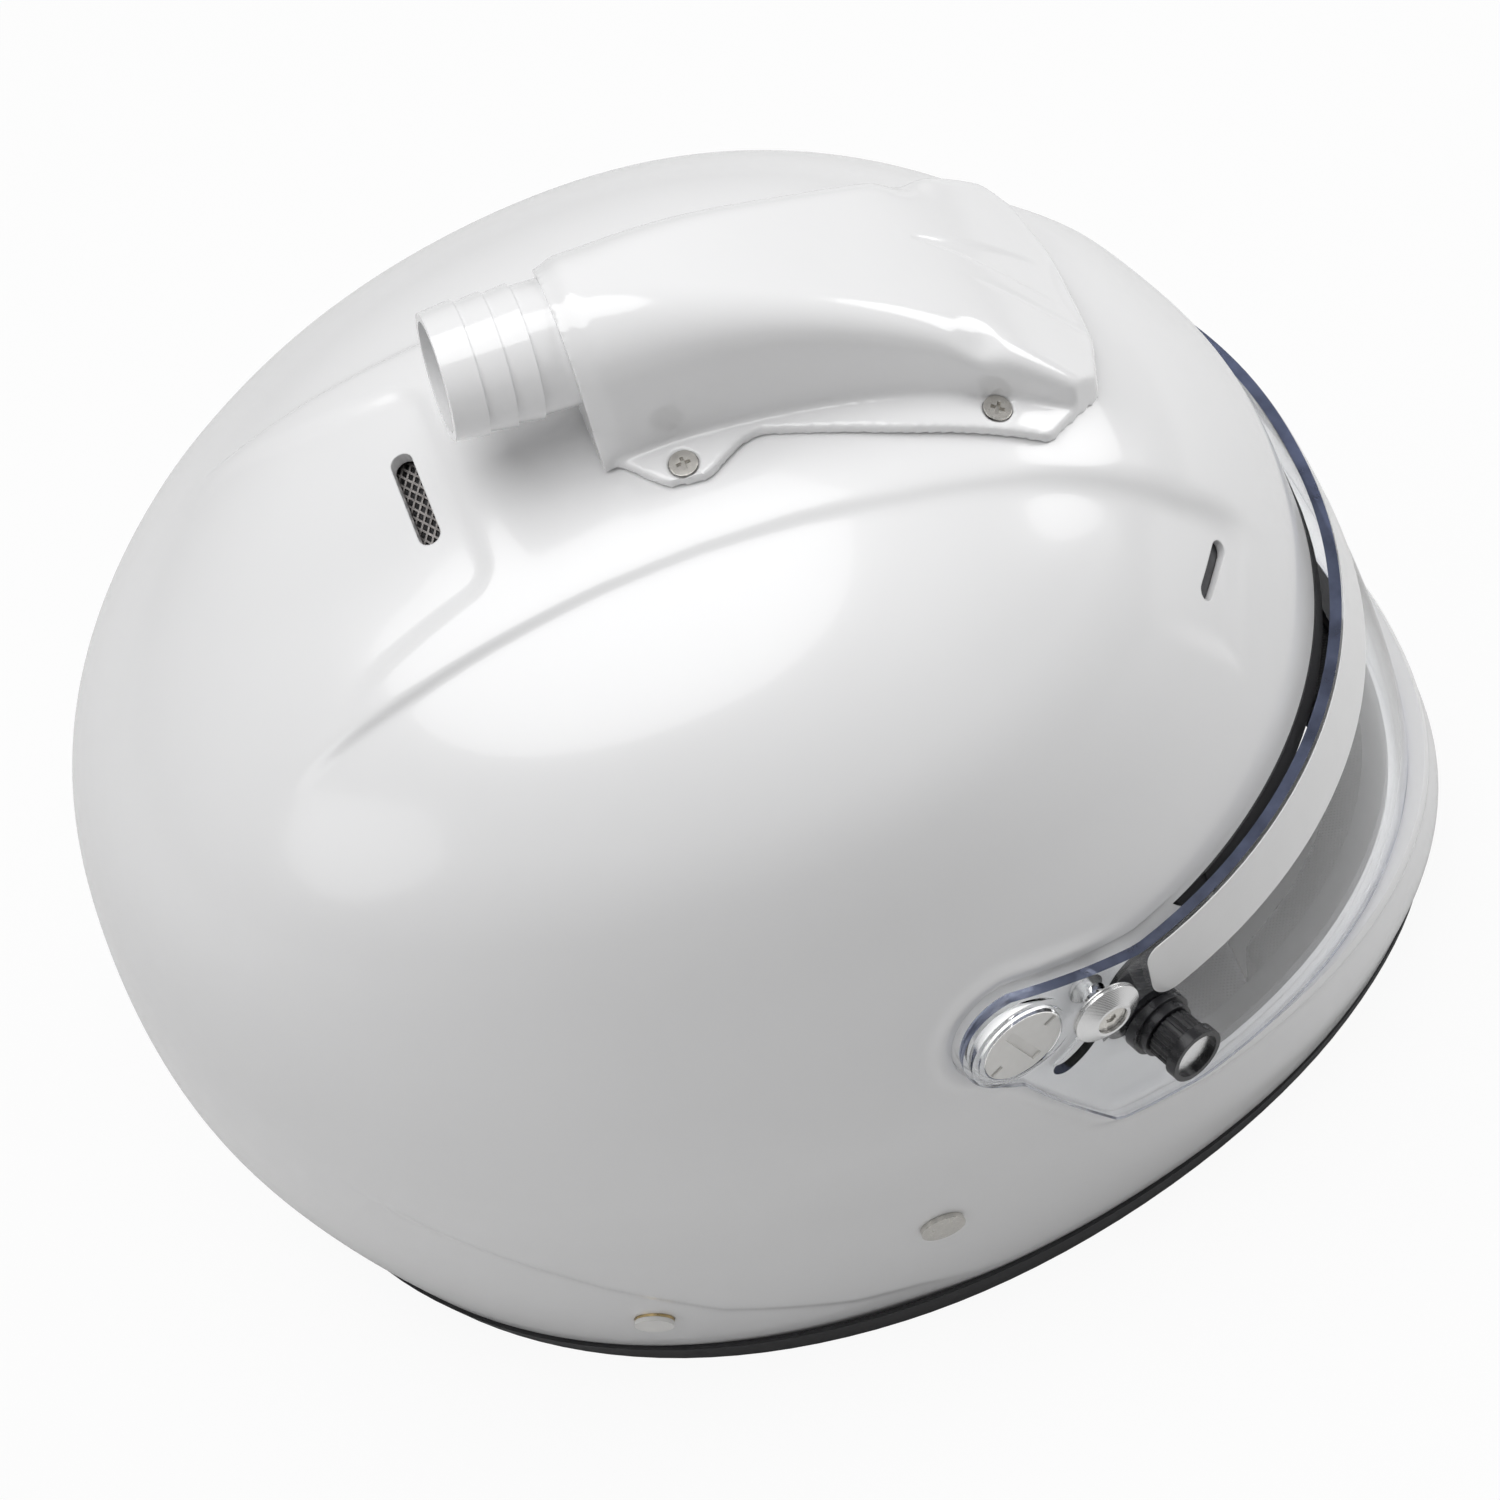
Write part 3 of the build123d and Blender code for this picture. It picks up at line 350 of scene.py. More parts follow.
def side(u, v, w):
    return (w, u, v)


def plan(u, v, w):
    return (u, v, w)


def axes(origin, normal, x_hint=(0, 0, 1)):
    """A map from (u, v, w) to points of a plane; w runs along its normal."""
    origin, normal = Vector(origin), Vector(normal).normalized()
    x_axis = Vector(x_hint)
    x_axis = (x_axis - normal * x_axis.dot(normal)).normalized()
    y_axis = normal.cross(x_axis)
    return lambda u, v, w: tuple(origin + x_axis * u + y_axis * v + normal * w)


def apply_modifiers(item):
    depsgraph = bpy.context.evaluated_depsgraph_get()
    result = bpy.data.meshes.new_from_object(item.evaluated_get(depsgraph))
    old = item.data
    item.modifiers.clear()
    item.data = result
    bpy.data.meshes.remove(old)


def boolean(item, others, operation="DIFFERENCE"):
    """Cuts, joins or intersects a piece with others, which are used up."""
    for other in others:
        modifier = item.modifiers.new("cut", "BOOLEAN")
        modifier.object = other
        modifier.operation = operation
        modifier.solver = "MANIFOLD"
        modifier.material_mode = "TRANSFER"
    bpy.context.view_layer.update()
    apply_modifiers(item)
    for other in others:
        bpy.data.objects.remove(other)
    return item


def finish_piece(item, body, node):
    """Puts a piece under its body and hides the CAD node it stands in for."""
    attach(item, body)
    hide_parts(node)
    return item


# Outlines
def polar(radius, degrees):
    turn = math.radians(degrees)
    return radius * math.cos(turn), radius * math.sin(turn)


def circle(radius, count):
    return [polar(radius, 360 * i / count) for i in range(count)]


def slot_outline(length, width, count=14):
    """A long hole with round ends, along u."""
    half = (length - width) / 2
    points = []
    for sign in SIDES:
        for i in range(count + 1):
            u, v = polar(width / 2, 180 * (i / count - 0.5) + (0 if sign > 0 else 180))
            points.append((sign * half + u, v))
    return points


def arc_band(radius, half, start, sweep, steps=24, cap_step=15):
    """A slot with round ends that runs along an arc; angles in degrees."""
    turns = [start + sweep * k / steps for k in range(steps + 1)]

    def cap(turn, first):
        u, v = polar(radius, turn)
        ends = [polar(half, first + cap_step * k) for k in range(1, 180 // cap_step)]
        return [(u + p, v + q) for p, q in ends]

    outer = [polar(radius + half, turn) for turn in turns]
    inner = [polar(radius - half, turn) for turn in reversed(turns)]
    return outer + cap(turns[-1], turns[-1]) + inner + cap(start, start + 180)


def rounded(corners, step=6):
    """Outline points of straight runs with rounded corners (x, y, radius)."""
    points = []
    count = len(corners)
    for i, (x, y, radius) in enumerate(corners):
        corner = Vector((x, y))
        before = (Vector(corners[i - 1][:2]) - corner).normalized()
        after = (Vector(corners[(i + 1) % count][:2]) - corner).normalized()
        half = math.acos(max(-1, min(1, before.dot(after)))) / 2
        if radius <= 0 or abs(half - math.pi / 2) < 1e-4:
            points.append((x, y))
            continue
        centre = corner + (before + after).normalized() * radius / math.sin(half)
        first = corner + before * radius / math.tan(half) - centre
        last = corner + after * radius / math.tan(half) - centre
        sweep = math.atan2(first.cross(last), first.dot(last))
        pieces = max(2, int(abs(math.degrees(sweep)) / step) + 1)
        for k in range(pieces + 1):
            turn = Matrix.Rotation(sweep * k / pieces, 2)
            points.append(tuple(centre + turn @ first))
    return points


def bump_out(outline, amount):
    """Outline moved outward by an amount, corner by corner."""
    count = len(outline)
    area = sum(outline[i][0] * outline[(i + 1) % count][1]
               - outline[(i + 1) % count][0] * outline[i][1] for i in range(count))
    sign = 1 if area > 0 else -1
    moved = []
    for i in range(count):
        here = Vector(outline[i])
        into = (here - Vector(outline[i - 1])).normalized()
        out = (Vector(outline[(i + 1) % count]) - here).normalized()
        normal = Vector((into.y + out.y, -into.x - out.x))
        length = normal.length
        normal = normal / max(length, 1e-6) * sign
        stretch = 1 / max(0.35, length / 2)
        moved.append(tuple(here + normal * amount * stretch))
    return moved


def outline_distance(points, outline):
    """Signed distance of points to an outline, negative inside."""
    best = np.full(len(points), 1e9)
    inside = np.zeros(len(points), bool)
    count = len(outline)
    for i in range(count):
        a, b = np.array(outline[i]), np.array(outline[(i + 1) % count])
        run = b - a
        share = np.clip(((points - a) @ run) / max(run @ run, 1e-9), 0, 1)
        best = np.minimum(best, np.linalg.norm(points - a - share[:, None] * run, axis=1))
        crosses = (a[1] > points[:, 1]) != (b[1] > points[:, 1])
        if abs(run[1]) > 1e-9:
            where = a[0] + (points[:, 1] - a[1]) / run[1] * run[0]
            inside ^= crosses & (points[:, 0] < where)
    return np.where(inside, -best, best)


def smooth_step(value, low, high):
    share = np.clip((value - low) / (high - low), 0, 1)
    return share * share * (3 - 2 * share)


def visor_outline(grow=0.0):
    """The shield's outline with its round arm end, grown by an amount."""
    outline = rounded(visor_corners)
    return bump_out(outline, grow) if grow else outline


# Materials
def add_node(tree, kind, **values):
    """A shader node with values on its sockets."""
    node = tree.nodes.new("ShaderNode" + kind)
    for key, value in values.items():
        node.inputs[key.replace("_", " ")].default_value = value
    return node


def noise_height(tree, place, scale):
    fine = add_node(tree, "TexNoise", Scale=scale, Detail=2)
    tree.links.new(place, fine.inputs["Vector"])
    return fine.outputs["Fac"]


def weave_height(tree, place, scale):
    """Two crossing bands of threads."""
    cross = add_node(tree, "Math")
    cross.operation = "MULTIPLY"
    for socket, direction in zip(cross.inputs, "XY"):
        wave = add_node(tree, "TexWave", Scale=scale, Distortion=0.6, Detail=1)
        wave.bands_direction = direction
        turn = add_node(tree, "Mapping", Rotation=(0.6, 0.35, 0.5))
        tree.links.new(place, turn.inputs["Vector"])
        tree.links.new(turn.outputs["Vector"], wave.inputs["Vector"])
        tree.links.new(wave.outputs["Fac"], socket)
    return cross.outputs["Value"]


def cell_height(tree, place, scale):
    cells = add_node(tree, "TexVoronoi", Scale=scale)
    tree.links.new(place, cells.inputs["Vector"])
    return cells.outputs["Distance"]


def turned_height(tree, place, scale):
    """Fine rings of a turned face."""
    rings = add_node(tree, "TexWave", Scale=scale, Detail=2, Distortion=0.5)
    rings.wave_type = "RINGS"
    rings.rings_direction = "X"
    tree.links.new(place, rings.inputs["Vector"])
    return rings.outputs["Fac"]


heights = {"noise": noise_height, "weave": weave_height, "cells": cell_height,
           "turned": turned_height}


def material(name, color, rough, spread=0.03, rough_spread=0.05, scale=60, bump=0.02,
             bump_scale=400, edge=0.0, pattern="noise", **sockets):
    """Principled material whose colour, roughness and bump come from procedural textures."""
    item = bpy.data.materials.new(name)
    item.use_nodes = True
    tree = item.node_tree
    shader = tree.nodes["Principled BSDF"]
    place = add_node(tree, "TexCoord").outputs["Object"]
    noise = add_node(tree, "TexNoise", Scale=scale, Detail=4)
    tree.links.new(place, noise.inputs["Vector"])
    ramp = add_node(tree, "ValToRGB")
    for stop, position, gain in zip(ramp.color_ramp.elements, (0.3, 0.7), (1 - spread, 1 + spread)):
        stop.color = (*[min(1.0, c * gain) for c in color], 1)
        stop.position = position
    tree.links.new(noise.outputs["Fac"], ramp.inputs["Fac"])
    color_out = ramp.outputs["Color"]
    polish = add_node(tree, "MapRange", To_Min=max(0.0, rough - rough_spread),
                      To_Max=min(1.0, rough + rough_spread))
    tree.links.new(noise.outputs["Fac"], polish.inputs["Value"])
    tree.links.new(polish.outputs["Result"], shader.inputs["Roughness"])
    height = heights[pattern](tree, place, bump_scale)
    # Woven pieces: the colour is darkened where the weave height is low, painted shade between the
    # threads
    if pattern == "weave":
        shade = add_node(tree, "Mix", Factor=0.55)
        shade.data_type = "RGBA"
        shade.blend_type = "MULTIPLY"
        tree.links.new(color_out, shade.inputs[6])
        tree.links.new(height, shade.inputs[7])
        color_out = shade.outputs[2]
    relief = add_node(tree, "Bump", Strength=1.0, Distance=bump * MM)
    tree.links.new(height, relief.inputs["Height"])
    if edge > 0:
        bevel = add_node(tree, "Bevel", Radius=edge * MM)
        bevel.samples = 4
        tree.links.new(bevel.outputs["Normal"], relief.inputs["Normal"])
    tree.links.new(relief.outputs["Normal"], shader.inputs["Normal"])
    tree.links.new(color_out, shader.inputs["Base Color"])
    for key, value in sockets.items():
        shader.inputs[key.replace("_", " ")].default_value = value
    item["slot"] = name
    return item


def see_through(item):
    """Lets light through a clear material without the noise of caustics."""
    tree = item.node_tree
    path = add_node(tree, "LightPath")
    clear = add_node(tree, "BsdfTransparent")
    mix = add_node(tree, "MixShader")
    tree.links.new(path.outputs["Is Shadow Ray"], mix.inputs[0])
    tree.links.new(tree.nodes["Principled BSDF"].outputs["BSDF"], mix.inputs[1])
    tree.links.new(clear.outputs["BSDF"], mix.inputs[2])
    tree.links.new(mix.outputs["Shader"], tree.nodes["Material Output"].inputs["Surface"])


gloss_white = material("gloss_white", (0.84, 0.84, 0.845), 0.24, spread=0.006,
                       rough_spread=0.03, scale=25, bump=0.004, bump_scale=260, edge=0.6,
                       Coat_Weight=0.35, Coat_Roughness=0.06)
shell_inside = material("shell_inside", (0.12, 0.118, 0.112), 0.6, spread=0.12, scale=200,
                        bump=0.08, bump_scale=700)
duct_white = material("duct_white", (0.85, 0.85, 0.855), 0.14, spread=0.006, rough_spread=0.03,
                      scale=40, bump=0.006, bump_scale=500, Coat_Weight=0.3,
                      Coat_Roughness=0.04)
black_rubber = material("black_rubber", (0.018, 0.018, 0.02), 0.55, spread=0.25,
                        rough_spread=0.12, scale=90, bump=0.04, bump_scale=1500, edge=0.3)
clear_shield = material("clear_shield", (0.965, 0.975, 0.985), 0.012, spread=0.004,
                        rough_spread=0.01, scale=30, bump=0.001, bump_scale=60,
                        Transmission_Weight=1.0, IOR=1.4)
shield_edge = material("shield_edge", (0.12, 0.14, 0.22), 0.08, spread=0.35, rough_spread=0.05,
                       scale=120, bump=0.03, bump_scale=300, Transmission_Weight=0.45, IOR=1.49)
for clear_item in (clear_shield, shield_edge):
    see_through(clear_item)
white_film = material("white_film", (0.83, 0.83, 0.83), 0.22, spread=0.01, rough_spread=0.04,
                      scale=90, bump=0.004, bump_scale=900)
white_plastic = material("white_plastic", (0.86, 0.85, 0.825), 0.34, spread=0.02,
                         rough_spread=0.06, scale=300, bump=0.01, bump_scale=1800, edge=0.25)
black_plastic = material("black_plastic", (0.012, 0.012, 0.014), 0.28, spread=0.3,
                         rough_spread=0.1, scale=220, bump=0.015, bump_scale=1400, edge=0.25)
turned_aluminium = material("turned_aluminium", (0.80, 0.80, 0.80), 0.24, spread=0.03,
                            rough_spread=0.07, scale=500, bump=0.01, bump_scale=900,
                            pattern="turned", edge=0.15, Metallic=1.0)
bright_steel = material("bright_steel", (0.68, 0.66, 0.62), 0.25, spread=0.06,
                        rough_spread=0.08, scale=600, bump=0.01, bump_scale=2200, edge=0.15,
                        Metallic=1.0)
brass = material("brass", (0.62, 0.47, 0.24), 0.3, spread=0.06, rough_spread=0.08, scale=500,
                 bump=0.01, bump_scale=2000, edge=0.15, Metallic=1.0)
grey_foam = material("grey_foam", (0.10, 0.10, 0.105), 0.85, spread=0.2, rough_spread=0.08,
                     scale=300, bump=0.25, bump_scale=330, pattern="cells")
black_fabric = material("black_fabric", (0.060, 0.060, 0.064), 0.9, spread=0.25,
                        rough_spread=0.05, scale=120, bump=0.12, bump_scale=420,
                        pattern="weave", Sheen_Weight=0.25, Sheen_Roughness=0.5)
webbing = material("webbing", (0.025, 0.025, 0.027), 0.75, spread=0.3, rough_spread=0.08,
                   scale=200, bump=0.2, bump_scale=300, pattern="weave", Sheen_Weight=0.15)
dark_mesh = material("dark_mesh", (0.36, 0.34, 0.33), 0.35, spread=0.2, rough_spread=0.1,
                     scale=400, bump=0.02, bump_scale=1500, Metallic=0.9)


# Outer shell
def shell_details(points):
    """Raises and lowers the plain form where the real shell is moulded."""
    p = points.reshape(-1, 3).copy()
    normal = p / np.array([126.0, 160.0, 258.0]) ** 2
    normal[:, 1] = (p[:, 1] - CENTRE_Y) / 160.0 ** 2
    normal /= np.maximum(np.linalg.norm(normal, axis=1), 1e-9)[:, None]
    x, y, z = np.abs(p[:, 0]), p[:, 1], p[:, 2]
    rise = np.zeros(len(p))
    # Long soft step on each side of the crown
    beside = x - np.interp(y, crest_y, crest_x)
    ends = smooth_step(y, *crest_starts) * (1 - smooth_step(y, *crest_ends))
    ends *= smooth_step(z, *crest_above)
    width = crest_width - crest_narrowing * smooth_step(y, *crest_narrows)
    step = -beside / np.sqrt(beside ** 2 + width ** 2)
    rise += crest_height * ends * step * np.exp(-(beside / crest_reach) ** 2)
    # Pocket round the rear slot
    pocket = outline_distance(p[:, :2], rounded(rear_pocket_corners))
    deep = (1 - smooth_step(pocket, *rear_pocket_edge)) * (1 - smooth_step(y, *rear_pocket_fades))
    rise -= rear_pocket_depth * deep * (z > crown_low_z)
    # Pockets round the front slots, each with a front edge and an outer edge
    ahead = -(y + 112.0) - (60 - x) * 0.47 + 0.5
    beyond = x - 74.5 - (y + 102) * 0.12
    front = 1 - smooth_step(np.maximum(ahead, beyond), *front_pocket_edge)
    front *= 1 - smooth_step(y, *front_pocket_fades)
    front *= smooth_step(x, *front_pocket_inner) * (z > crown_low_z)
    rise -= front_pocket_depth * front
    # Style line low on each side
    below = np.interp(y, low_line_y, low_line_z) - z
    fade = smooth_step(y, *low_line_starts) * (1 - smooth_step(y, *low_line_ends))
    lower = below / np.sqrt(below ** 2 + low_line_width ** 2)
    rise -= (low_line_height * fade * (lower + 1) * np.exp(-(below / low_line_reach) ** 2)
             * (z < low_line_top))
    # Fuller chin bar above the base edge
    rise += (chin_height * np.exp(-((z - chin_z) / chin_spread) ** 2)
             * smooth_step(-y, *chin_starts) * (z < chin_top))
    # Bead round the shield's arm and lower edge
    away = outline_distance(p[:, 1:], visor_outline(recess_margin))
    bead = np.exp(-((away - bead_away) / bead_width) ** 2) * (away > -1)
    low_side = 1 - smooth_step(z, *bead_top_z) * (1 - smooth_step(y, *bead_top_y))
    rise += bead_height * bead * low_side * (y < bead_rear_y)
    p += normal * rise[:, None]
    return p.reshape(points.shape)


def form_cut(name, outline, inset, material_in):
    """A side prism less the shield form, the tool that cuts the shield's recess."""
    tool = prism(name, outline, -200, 200, side, material_in)
    return boolean(tool, [dome(name + "_core", visor_form, inset, 20, 300, 110,
                               material=material_in)])


def make_shell():
    outer = dome("outer_shell_skin", shell_form, 0, 1.5, 640, 300, shell_details, gloss_white)
    boolean(outer, [form_cut("recess_tool", visor_outline(recess_margin), recess_depth,
                             gloss_white)])
    inner = dome("shell_room", shell_form, WALL, -4, 240, 90, material=shell_inside)
    boolean(inner, [form_cut("room_tool", visor_outline(recess_margin + WALL),
                             recess_depth + WALL, shell_inside)])
    tools = [inner, prism("eyeport_tool", rounded(eyeport_corners), -200, 200, side, gloss_white)]

    def pierce(name, outline, place, low=-tool_reach, high=tool_reach):
        tools.append(prism(name, outline, low, high, place, gloss_white))

    for sign in SIDES:
        slot_x, slot_y = front_slot_place
        point, normal = surface_at(shell_form, 0, sign * slot_x, slot_y)
        run = (front_slot_along[0] * sign, front_slot_along[1], 0)
        pierce("front_slot_tool", slot_outline(*front_slot_size), axes(point, normal, run))
        for place, radius in ((strap_bolt_place, strap_bolt_hole), (anchor_place, anchor_hole)):
            point, normal = side_at(shell_form, 0, *place)
            pierce("hole_tool", circle(radius, 40),
                   axes((sign * point.x, point.y, point.z),
                        (sign * normal.x, normal.y, normal.z), (0, 1, 0)))
        across = axes((0, *PIVOT), (sign, 0, 0))
        beyond = pivot_face_x + recess_margin
        pierce("pivot_hole_tool", circle(pivot_hole_radius, 40), across, 66, beyond)
        pierce("pivot_pocket_tool", circle(boss_radius + recess_margin, 72), across,
               boss_low_x - boss_clearance, beyond)
    point, normal = surface_at(shell_form, 0, 0, rear_slot_y)
    pierce("rear_slot_tool", slot_outline(*rear_slot_size), axes(point, normal, (1, 0, 0)))
    pierce("air_hole_tool", [(v, u + air_hole_y) for u, v in slot_outline(*air_hole_size)], plan,
           129, 380)
    boolean(outer, tools)
    outer.name = "shell"
    sharpen(outer, 28)
    return finish_piece(outer, "helmet", "outer_shell")


# Clear shield
def make_visor():
    outward = Vector((math.cos(pivot_lean), -math.sin(pivot_lean), 0))
    skin = dome("visor", visor_form, 0, 20, 480, 170, material=clear_shield)
    boolean(skin, [dome("visor_room", visor_form, visor_wall, 10, 480, 170,
                        material=clear_shield)])
    boolean(skin, [prism("visor_side", visor_outline(), -200, 200, side, shield_edge)],
            "INTERSECT")
    square = [(-60, -60), (60, -60), (60, 60), (-60, 60)]
    far_x = pivot_face_x + 30
    arc = [(u + PIVOT[0], v + PIVOT[1])
           for u, v in arc_band(arc_radius, arc_half_width, arc_start, arc_sweep)]
    for sign in SIDES:
        across = axes((0, *PIVOT), (sign, 0, 0), (0, 1, 0))
        face = axes((sign * pivot_face_x, *PIVOT), (sign * outward.x, outward.y, 0))
        bosses = []
        for radius, drop in ((boss_radius, boss_step), (boss_inner_radius, 0)):
            bar = prism("boss", circle(radius, 72), boss_low_x, far_x, across, clear_shield)
            block = prism("boss_cut", square, -drop, 90, face, clear_shield)
            bosses.append(boolean(bar, [block]))
        boolean(skin, bosses, "UNION")
        boolean(skin, [
            prism("hub_hole", circle(hub_hole_radius, 64), 66, far_x, across, clear_shield),
            prism("coin_seat", circle(coin_radius + coin_clearance, 72), coin_floor_x, far_x,
                  across, clear_shield),
            prism("arc_slot", arc, *sorted((sign * 60, sign * 170)), side, clear_shield)])
    lock = axes(lock_place, (-math.cos(lock_lean), -math.sin(lock_lean), 0))
    boolean(skin, [prism("lock_hole", circle(lock_hole_radius, 48), -12, 12, lock, clear_shield)])
    sharpen(skin, 30)
    return finish_piece(skin, "shield", "visor")


# Duct
def remeshed(name, source, voxel, rounds, material_in):
    """A copy of a CAD mesh as one remeshed and smoothed surface."""
    item = link(name, source.data.copy())
    modifier = item.modifiers.new("remesh", "REMESH")
    modifier.mode = "VOXEL"
    modifier.voxel_size = voxel * MM
    modifier.adaptivity = 0
    soften = item.modifiers.new("smooth", "SMOOTH")
    soften.iterations = rounds
    soften.factor = 0.5
    bpy.context.view_layer.update()
    apply_modifiers(item)
    item.data.shade_smooth()
    item.data.materials.clear()
    item.data.materials.append(material_in)
    return item


def coords(item):
    flat = np.empty(len(item.data.vertices) * 3, np.float32)
    item.data.vertices.foreach_get("co", flat)
    return flat.reshape(-1, 3).astype(float) / MM


def set_coords(item, points):
    item.data.vertices.foreach_set("co", (points * MM).astype(np.float32).ravel())
    item.data.update()


def shape_duct(p):
    """Presses the small forms into the duct's points."""
    x, y, z = p[:, 0], p[:, 1], p[:, 2]
    top = z > roof_low_z
    # Shallow wedge in the front of the roof
    share = np.clip((wedge_tip - y) / wedge_length, 0, 1)
    centre = 5.5 - share * 4.0
    half = 0.2 + share * 7.5
    inside = smooth_step(half - np.abs(x - centre), -0.8, 1.4) * (y < wedge_tip) * (y > wedge_end)
    p[:, 2] -= wedge_depth * inside * top * (1 - smooth_step(share, 0.75, 1.0))
    # Crease that runs on from the wedge to the front edge
    line = x - crease_x - (y - wedge_tip) * crease_slope
    p[:, 2] -= (crease_depth * np.exp(-(line / crease_width) ** 2) * smooth_step(-y, 70, 80)
                * top)
    # Round dimples beside the front screws
    for sign in SIDES:
        away = np.hypot(x - sign * dimple_place[0], y - dimple_place[1])
        p[:, 2] -= dimple_depth * np.exp(-(away / dimple_radius) ** 2) * (z > dimple_low_z)
    # Rounded shoulder where the body meets the hose end
    shoulder = smooth_step(y, *shoulder_y) ** 2 * smooth_step(z, *shoulder_z)
    p[:, 0] -= x * shoulder_draw * shoulder
    p[:, 2] -= (z - shoulder_middle_z) * shoulder_draw * shoulder * (z > shoulder_middle_z)
    return p


def make_duct():
    duct = remeshed("duct", nodes["air_duct"], duct_voxel, duct_smoothing, duct_white)
    set_coords(duct, shape_duct(coords(duct)))
    tools = []
    for x, y in duct_screws:
        place = axes(*surface_at(shell_form, -flange_height, x, y))
        tools.append(prism("screw_seat", circle(screw_seat_radius, 40), -screw_seat_depth, 20,
                           place, duct_white))
        tools.append(prism("screw_hole", circle(screw_hole_radius, 32), -9, 3, place, duct_white))
    mouth = axes(mouth_centre, (0, math.cos(mouth_tilt), math.sin(mouth_tilt)), (1, 0, 0))
    tools.append(prism("mouth", circle(mouth_radius, 96), -10, 20, mouth, duct_white))
    boolean(duct, tools)
    sharpen(duct, 40)
    return finish_piece(duct, "helmet", "air_duct")


# Soft liners
def puff(item):
    """Cloth pressure swells the piece, and no point moves further than the cap."""
    start = coords(item)
    cloth = item.modifiers.new("cloth", "CLOTH")
    for key, value in cloth_values.items():
        setattr(cloth.settings, key, value)
    cloth.settings.effector_weights.gravity = 0
    cloth.collision_settings.use_collision = False
    for number in range(1, cushion_frames + 1):
        bpy.context.scene.frame_set(number)
    apply_modifiers(item)
    bpy.context.scene.frame_set(1)
    moved = coords(item) - start
    length = np.linalg.norm(moved, axis=1)
    scale = np.minimum(1, cushion_cap / np.maximum(length, 1e-9))
    set_coords(item, start + moved * scale[:, None])


def shrink(work):
    work.normal_update()
    for vertex in work.verts:
        vertex.co -= vertex.normal * cushion_shrink * MM


def make_cushion(node, voxel):
    """A foam pad in fabric: the CAD solid remeshed, drawn in and puffed up again."""
    item = remeshed(node + "_soft", nodes[node], voxel, cushion_smoothing, black_fabric)
    edit_mesh(item, shrink)
    puff(item)
    item.data.shade_smooth()
    return finish_piece(item, "helmet", node)


# Chin strap
def strap_path(end_x, loop):
    """The webbing's middle line as (x, z): down inside the shell, then in towards the middle."""
    half = webbing_thickness / 2
    path = [(strap_outer_x - half, strap_top_z), (strap_outer_x - half, strap_low_z + strap_bend)]
    for k in range(1, 9):
        u, v = polar(strap_bend - half, 90 * k / 8)
        path.append((strap_outer_x - strap_bend + u, strap_low_z + strap_bend - v))
    path.append((end_x, strap_low_z + half))
    if loop:
        for k in range(1, 22):
            u, v = polar(ring_radius + half, -90 - 15 * k)
            path.append((end_x + u, strap_low_z + webbing_thickness + ring_radius + v))
    return path


def webbing_section(count=40):
    """Flat section with soft edges."""
    section = []
    for k in range(count):
        u, v = polar(1, 360 * k / count)
        section.append((math.copysign(abs(u) ** 0.25, u) * webbing_width / 2,
                        math.copysign(abs(v) ** 0.6, v) * webbing_thickness / 2))
    return section


def make_strap(node, sign, end_x, loop):
    """Woven webbing along the CAD strap's path."""
    line = [Vector((u, 0, v)) for u, v in strap_path(end_x, loop)]
    dense = []
    for a, b in zip(line, line[1:]):
        pieces = max(1, int((b - a).length / webbing_step))
        dense += [a.lerp(b, k / pieces) for k in range(pieces)]
    dense.append(line[-1])
    section = webbing_section()
    verts = []
    for i, here in enumerate(dense):
        run = (dense[min(len(dense) - 1, i + 1)] - dense[max(0, i - 1)]).normalized()
        up = Vector((-run.z, 0, run.x))
        narrow = 0.94 if i in (0, len(dense) - 1) else 1.0
        for u, v in section:
            spot = here + up * v * narrow
            verts.append((sign * spot.x, strap_centre_y + u * narrow, spot.z))
    around = len(section)
    faces = grid_faces(len(dense), around)
    faces += [tuple(range(around)), tuple(reversed(range(len(verts) - around, len(verts))))]
    item = new_object(node + "_webbing", verts, faces, webbing)
    tidy_normals(item)
    return finish_piece(item, "helmet", node)


# Light and floor
def add_light(name, place, target, size, power):
    """A round soft light; metres and watts."""
    data = bpy.data.lights.new(name, "AREA")
    data.shape = "ELLIPSE"
    data.size = data.size_y = size
    data.energy = power
    item = link(name, data)
    item.location = place
    item.rotation_euler = (Vector(target) - Vector(place)).to_track_quat("-Z", "Y").to_euler()


def add_world():
    """White where the camera or a clear piece sees it, and a weak light for all else."""
    world = bpy.data.worlds.new("world")
    bpy.context.scene.world = world
    world.use_nodes = True
    tree = world.node_tree
    background = tree.nodes["Background"]
    background.inputs["Color"].default_value = (1, 1, 1, 1)
    path = add_node(tree, "LightPath")
    strength = add_node(tree, "MapRange", To_Min=0.22, To_Max=1.0)
    seen = add_node(tree, "Math")
    seen.operation = "MAXIMUM"
    tree.links.new(path.outputs["Is Camera Ray"], seen.inputs[0])
    tree.links.new(path.outputs["Is Transmission Ray"], seen.inputs[1])
    tree.links.new(seen.outputs["Value"], strength.inputs["Value"])
    tree.links.new(strength.outputs["Result"], background.inputs["Strength"])


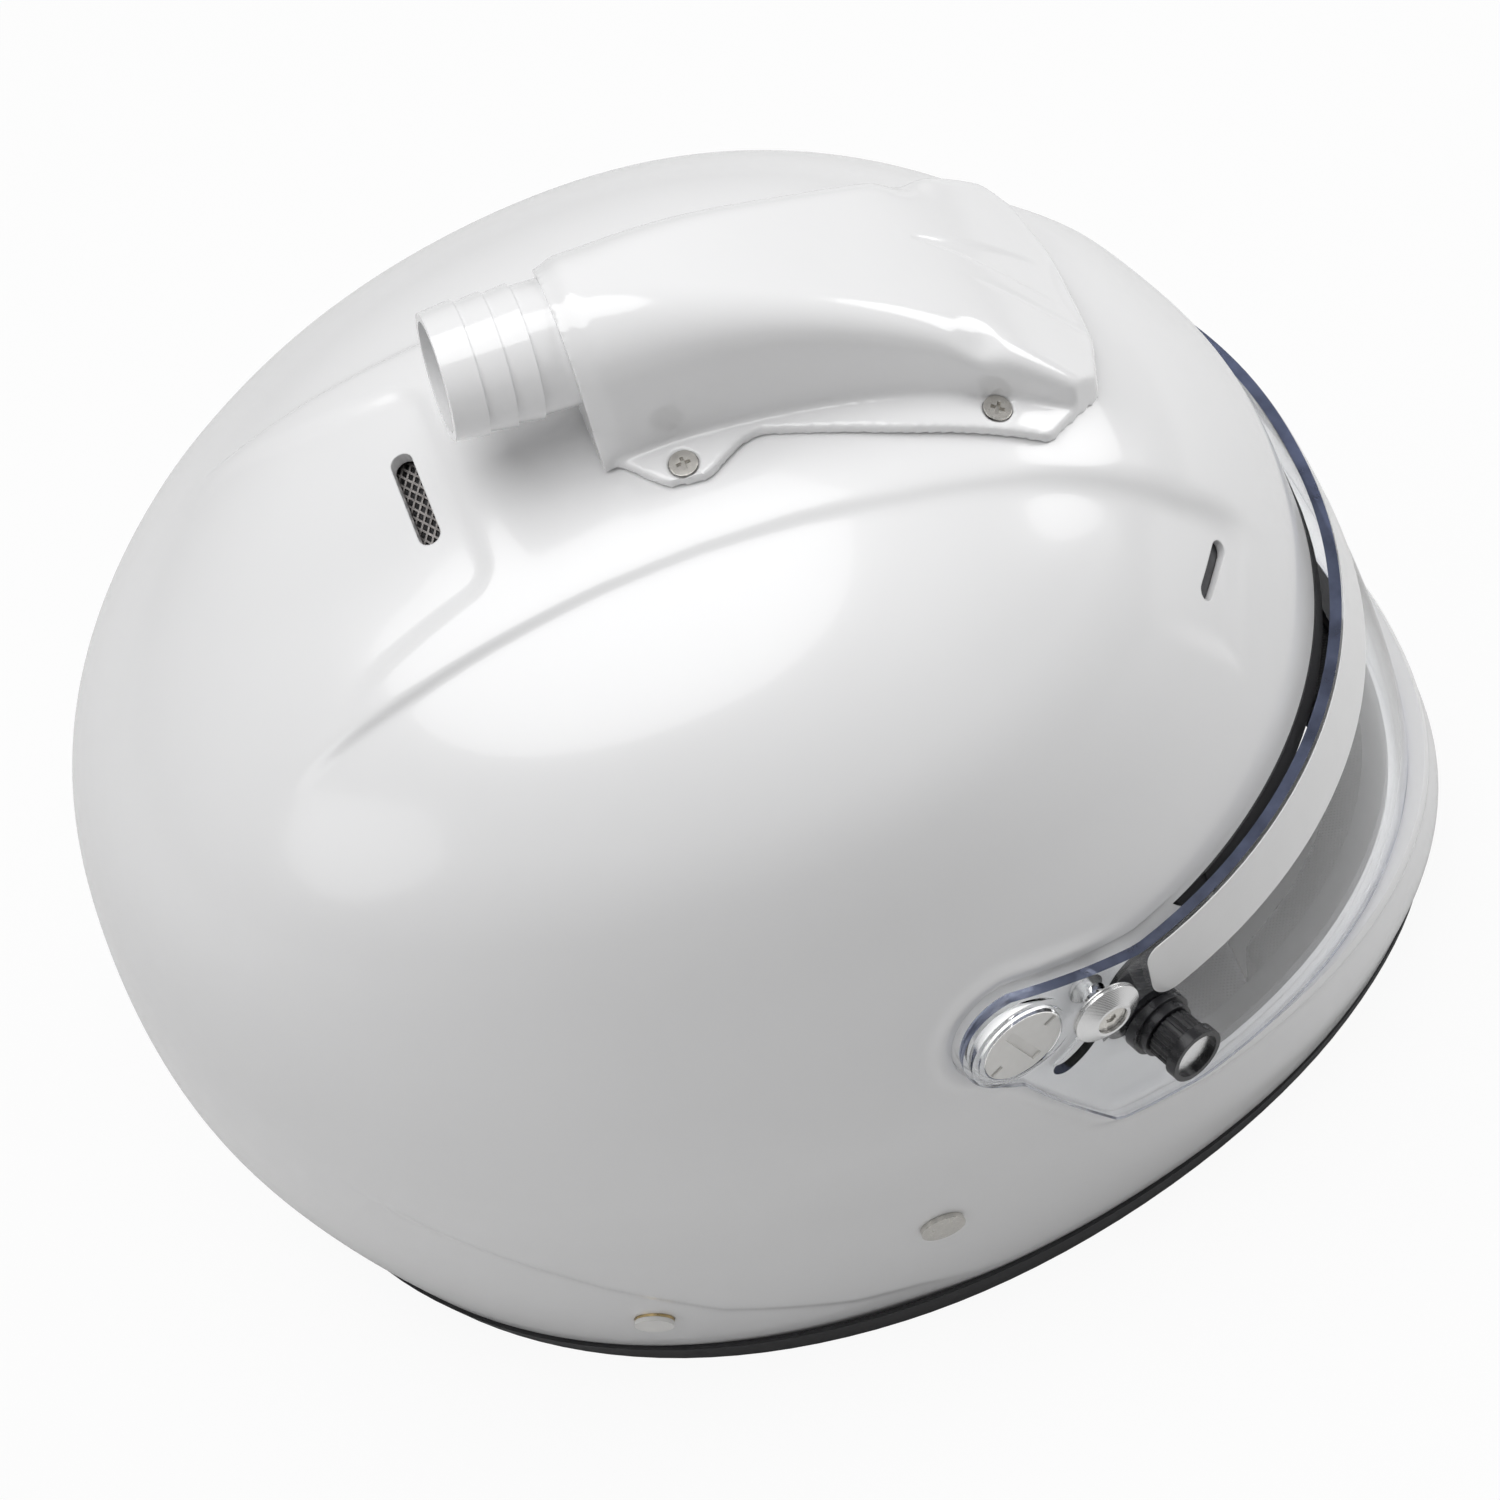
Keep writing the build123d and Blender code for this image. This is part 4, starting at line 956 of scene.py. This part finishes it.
def floor_paper():
    """Pale paper that keeps a soft shadow but looks nearly white to the camera."""
    paper = bpy.data.materials.new("floor_white")
    paper.use_nodes = True
    tree = paper.node_tree
    tree.nodes.remove(tree.nodes["Principled BSDF"])
    diffuse = add_node(tree, "BsdfDiffuse", Color=(0.74, 0.74, 0.74, 1))
    glow = add_node(tree, "Emission")
    path = add_node(tree, "LightPath")
    share = add_node(tree, "Math")
    share.operation = "MULTIPLY"
    share.inputs[1].default_value = 0.93
    mix = add_node(tree, "MixShader")
    tree.links.new(path.outputs["Is Camera Ray"], share.inputs[0])
    tree.links.new(share.outputs["Value"], mix.inputs[0])
    tree.links.new(diffuse.outputs["BSDF"], mix.inputs[1])
    tree.links.new(glow.outputs["Emission"], mix.inputs[2])
    tree.links.new(mix.outputs["Shader"], tree.nodes["Material Output"].inputs["Surface"])
    return paper


def add_floor(half=4000):
    verts = [(-half, -half, 0), (half, -half, 0), (half, half, 0), (-half, half, 0)]
    floor = new_object("floor", verts, [(0, 1, 2, 3)], floor_paper(), smooth=False)
    floor.location.z = -0.0004


# CAD nodes that stay, and their finishes
finishes = (
    (black_rubber, "base_trim eyeport_gasket duct_gasket"),
    (white_film, "sun_strip"),
    (white_plastic, "pivot_screw_left pivot_screw_right pivot_hub_left pivot_hub_right "
                    "anchor_plug_left anchor_plug_right"),
    (turned_aluminium, "guide_post_left guide_post_right lock_cap"),
    (bright_steel, "guide_screw_left guide_screw_right duct_screws strap_bolt_left "
                   "strap_bolt_right strap_snap d_ring_inner d_ring_outer"),
    (black_plastic, "lock_base lock_knob lock_cam lock_catch"),
    (duct_white, "duct_nipple"),
    (dark_mesh, "rear_vent_mesh"),
    (brass, "anchor_insert_left anchor_insert_right"),
    (grey_foam, "crown_liner"),
)

add_camera()
make_shell()
make_visor()
make_duct()
for cushion_node, cushion_voxel in cushion_voxels.items():
    make_cushion(cushion_node, cushion_voxel)
make_strap("chin_strap_left", 1, 34.0, True)
make_strap("chin_strap_right", -1, 14.0, False)
for finish, names in finishes:
    for name in names.split():
        for entry in nodes[name].material_slots:
            entry.material = finish
bpy.context.scene.view_settings.view_transform = "Standard"
add_world()
add_floor()
add_light("key", (0.1, 0.3, 1.9), (0, 0, 0.15), 1.8, 25)
add_light("front", (0.2, -1.7, 1.0), (0, -0.05, 0.15), 1.2, 14)
add_light("rear", (-0.5, 1.5, 0.9), (0, 0.05, 0.15), 0.9, 3.0)
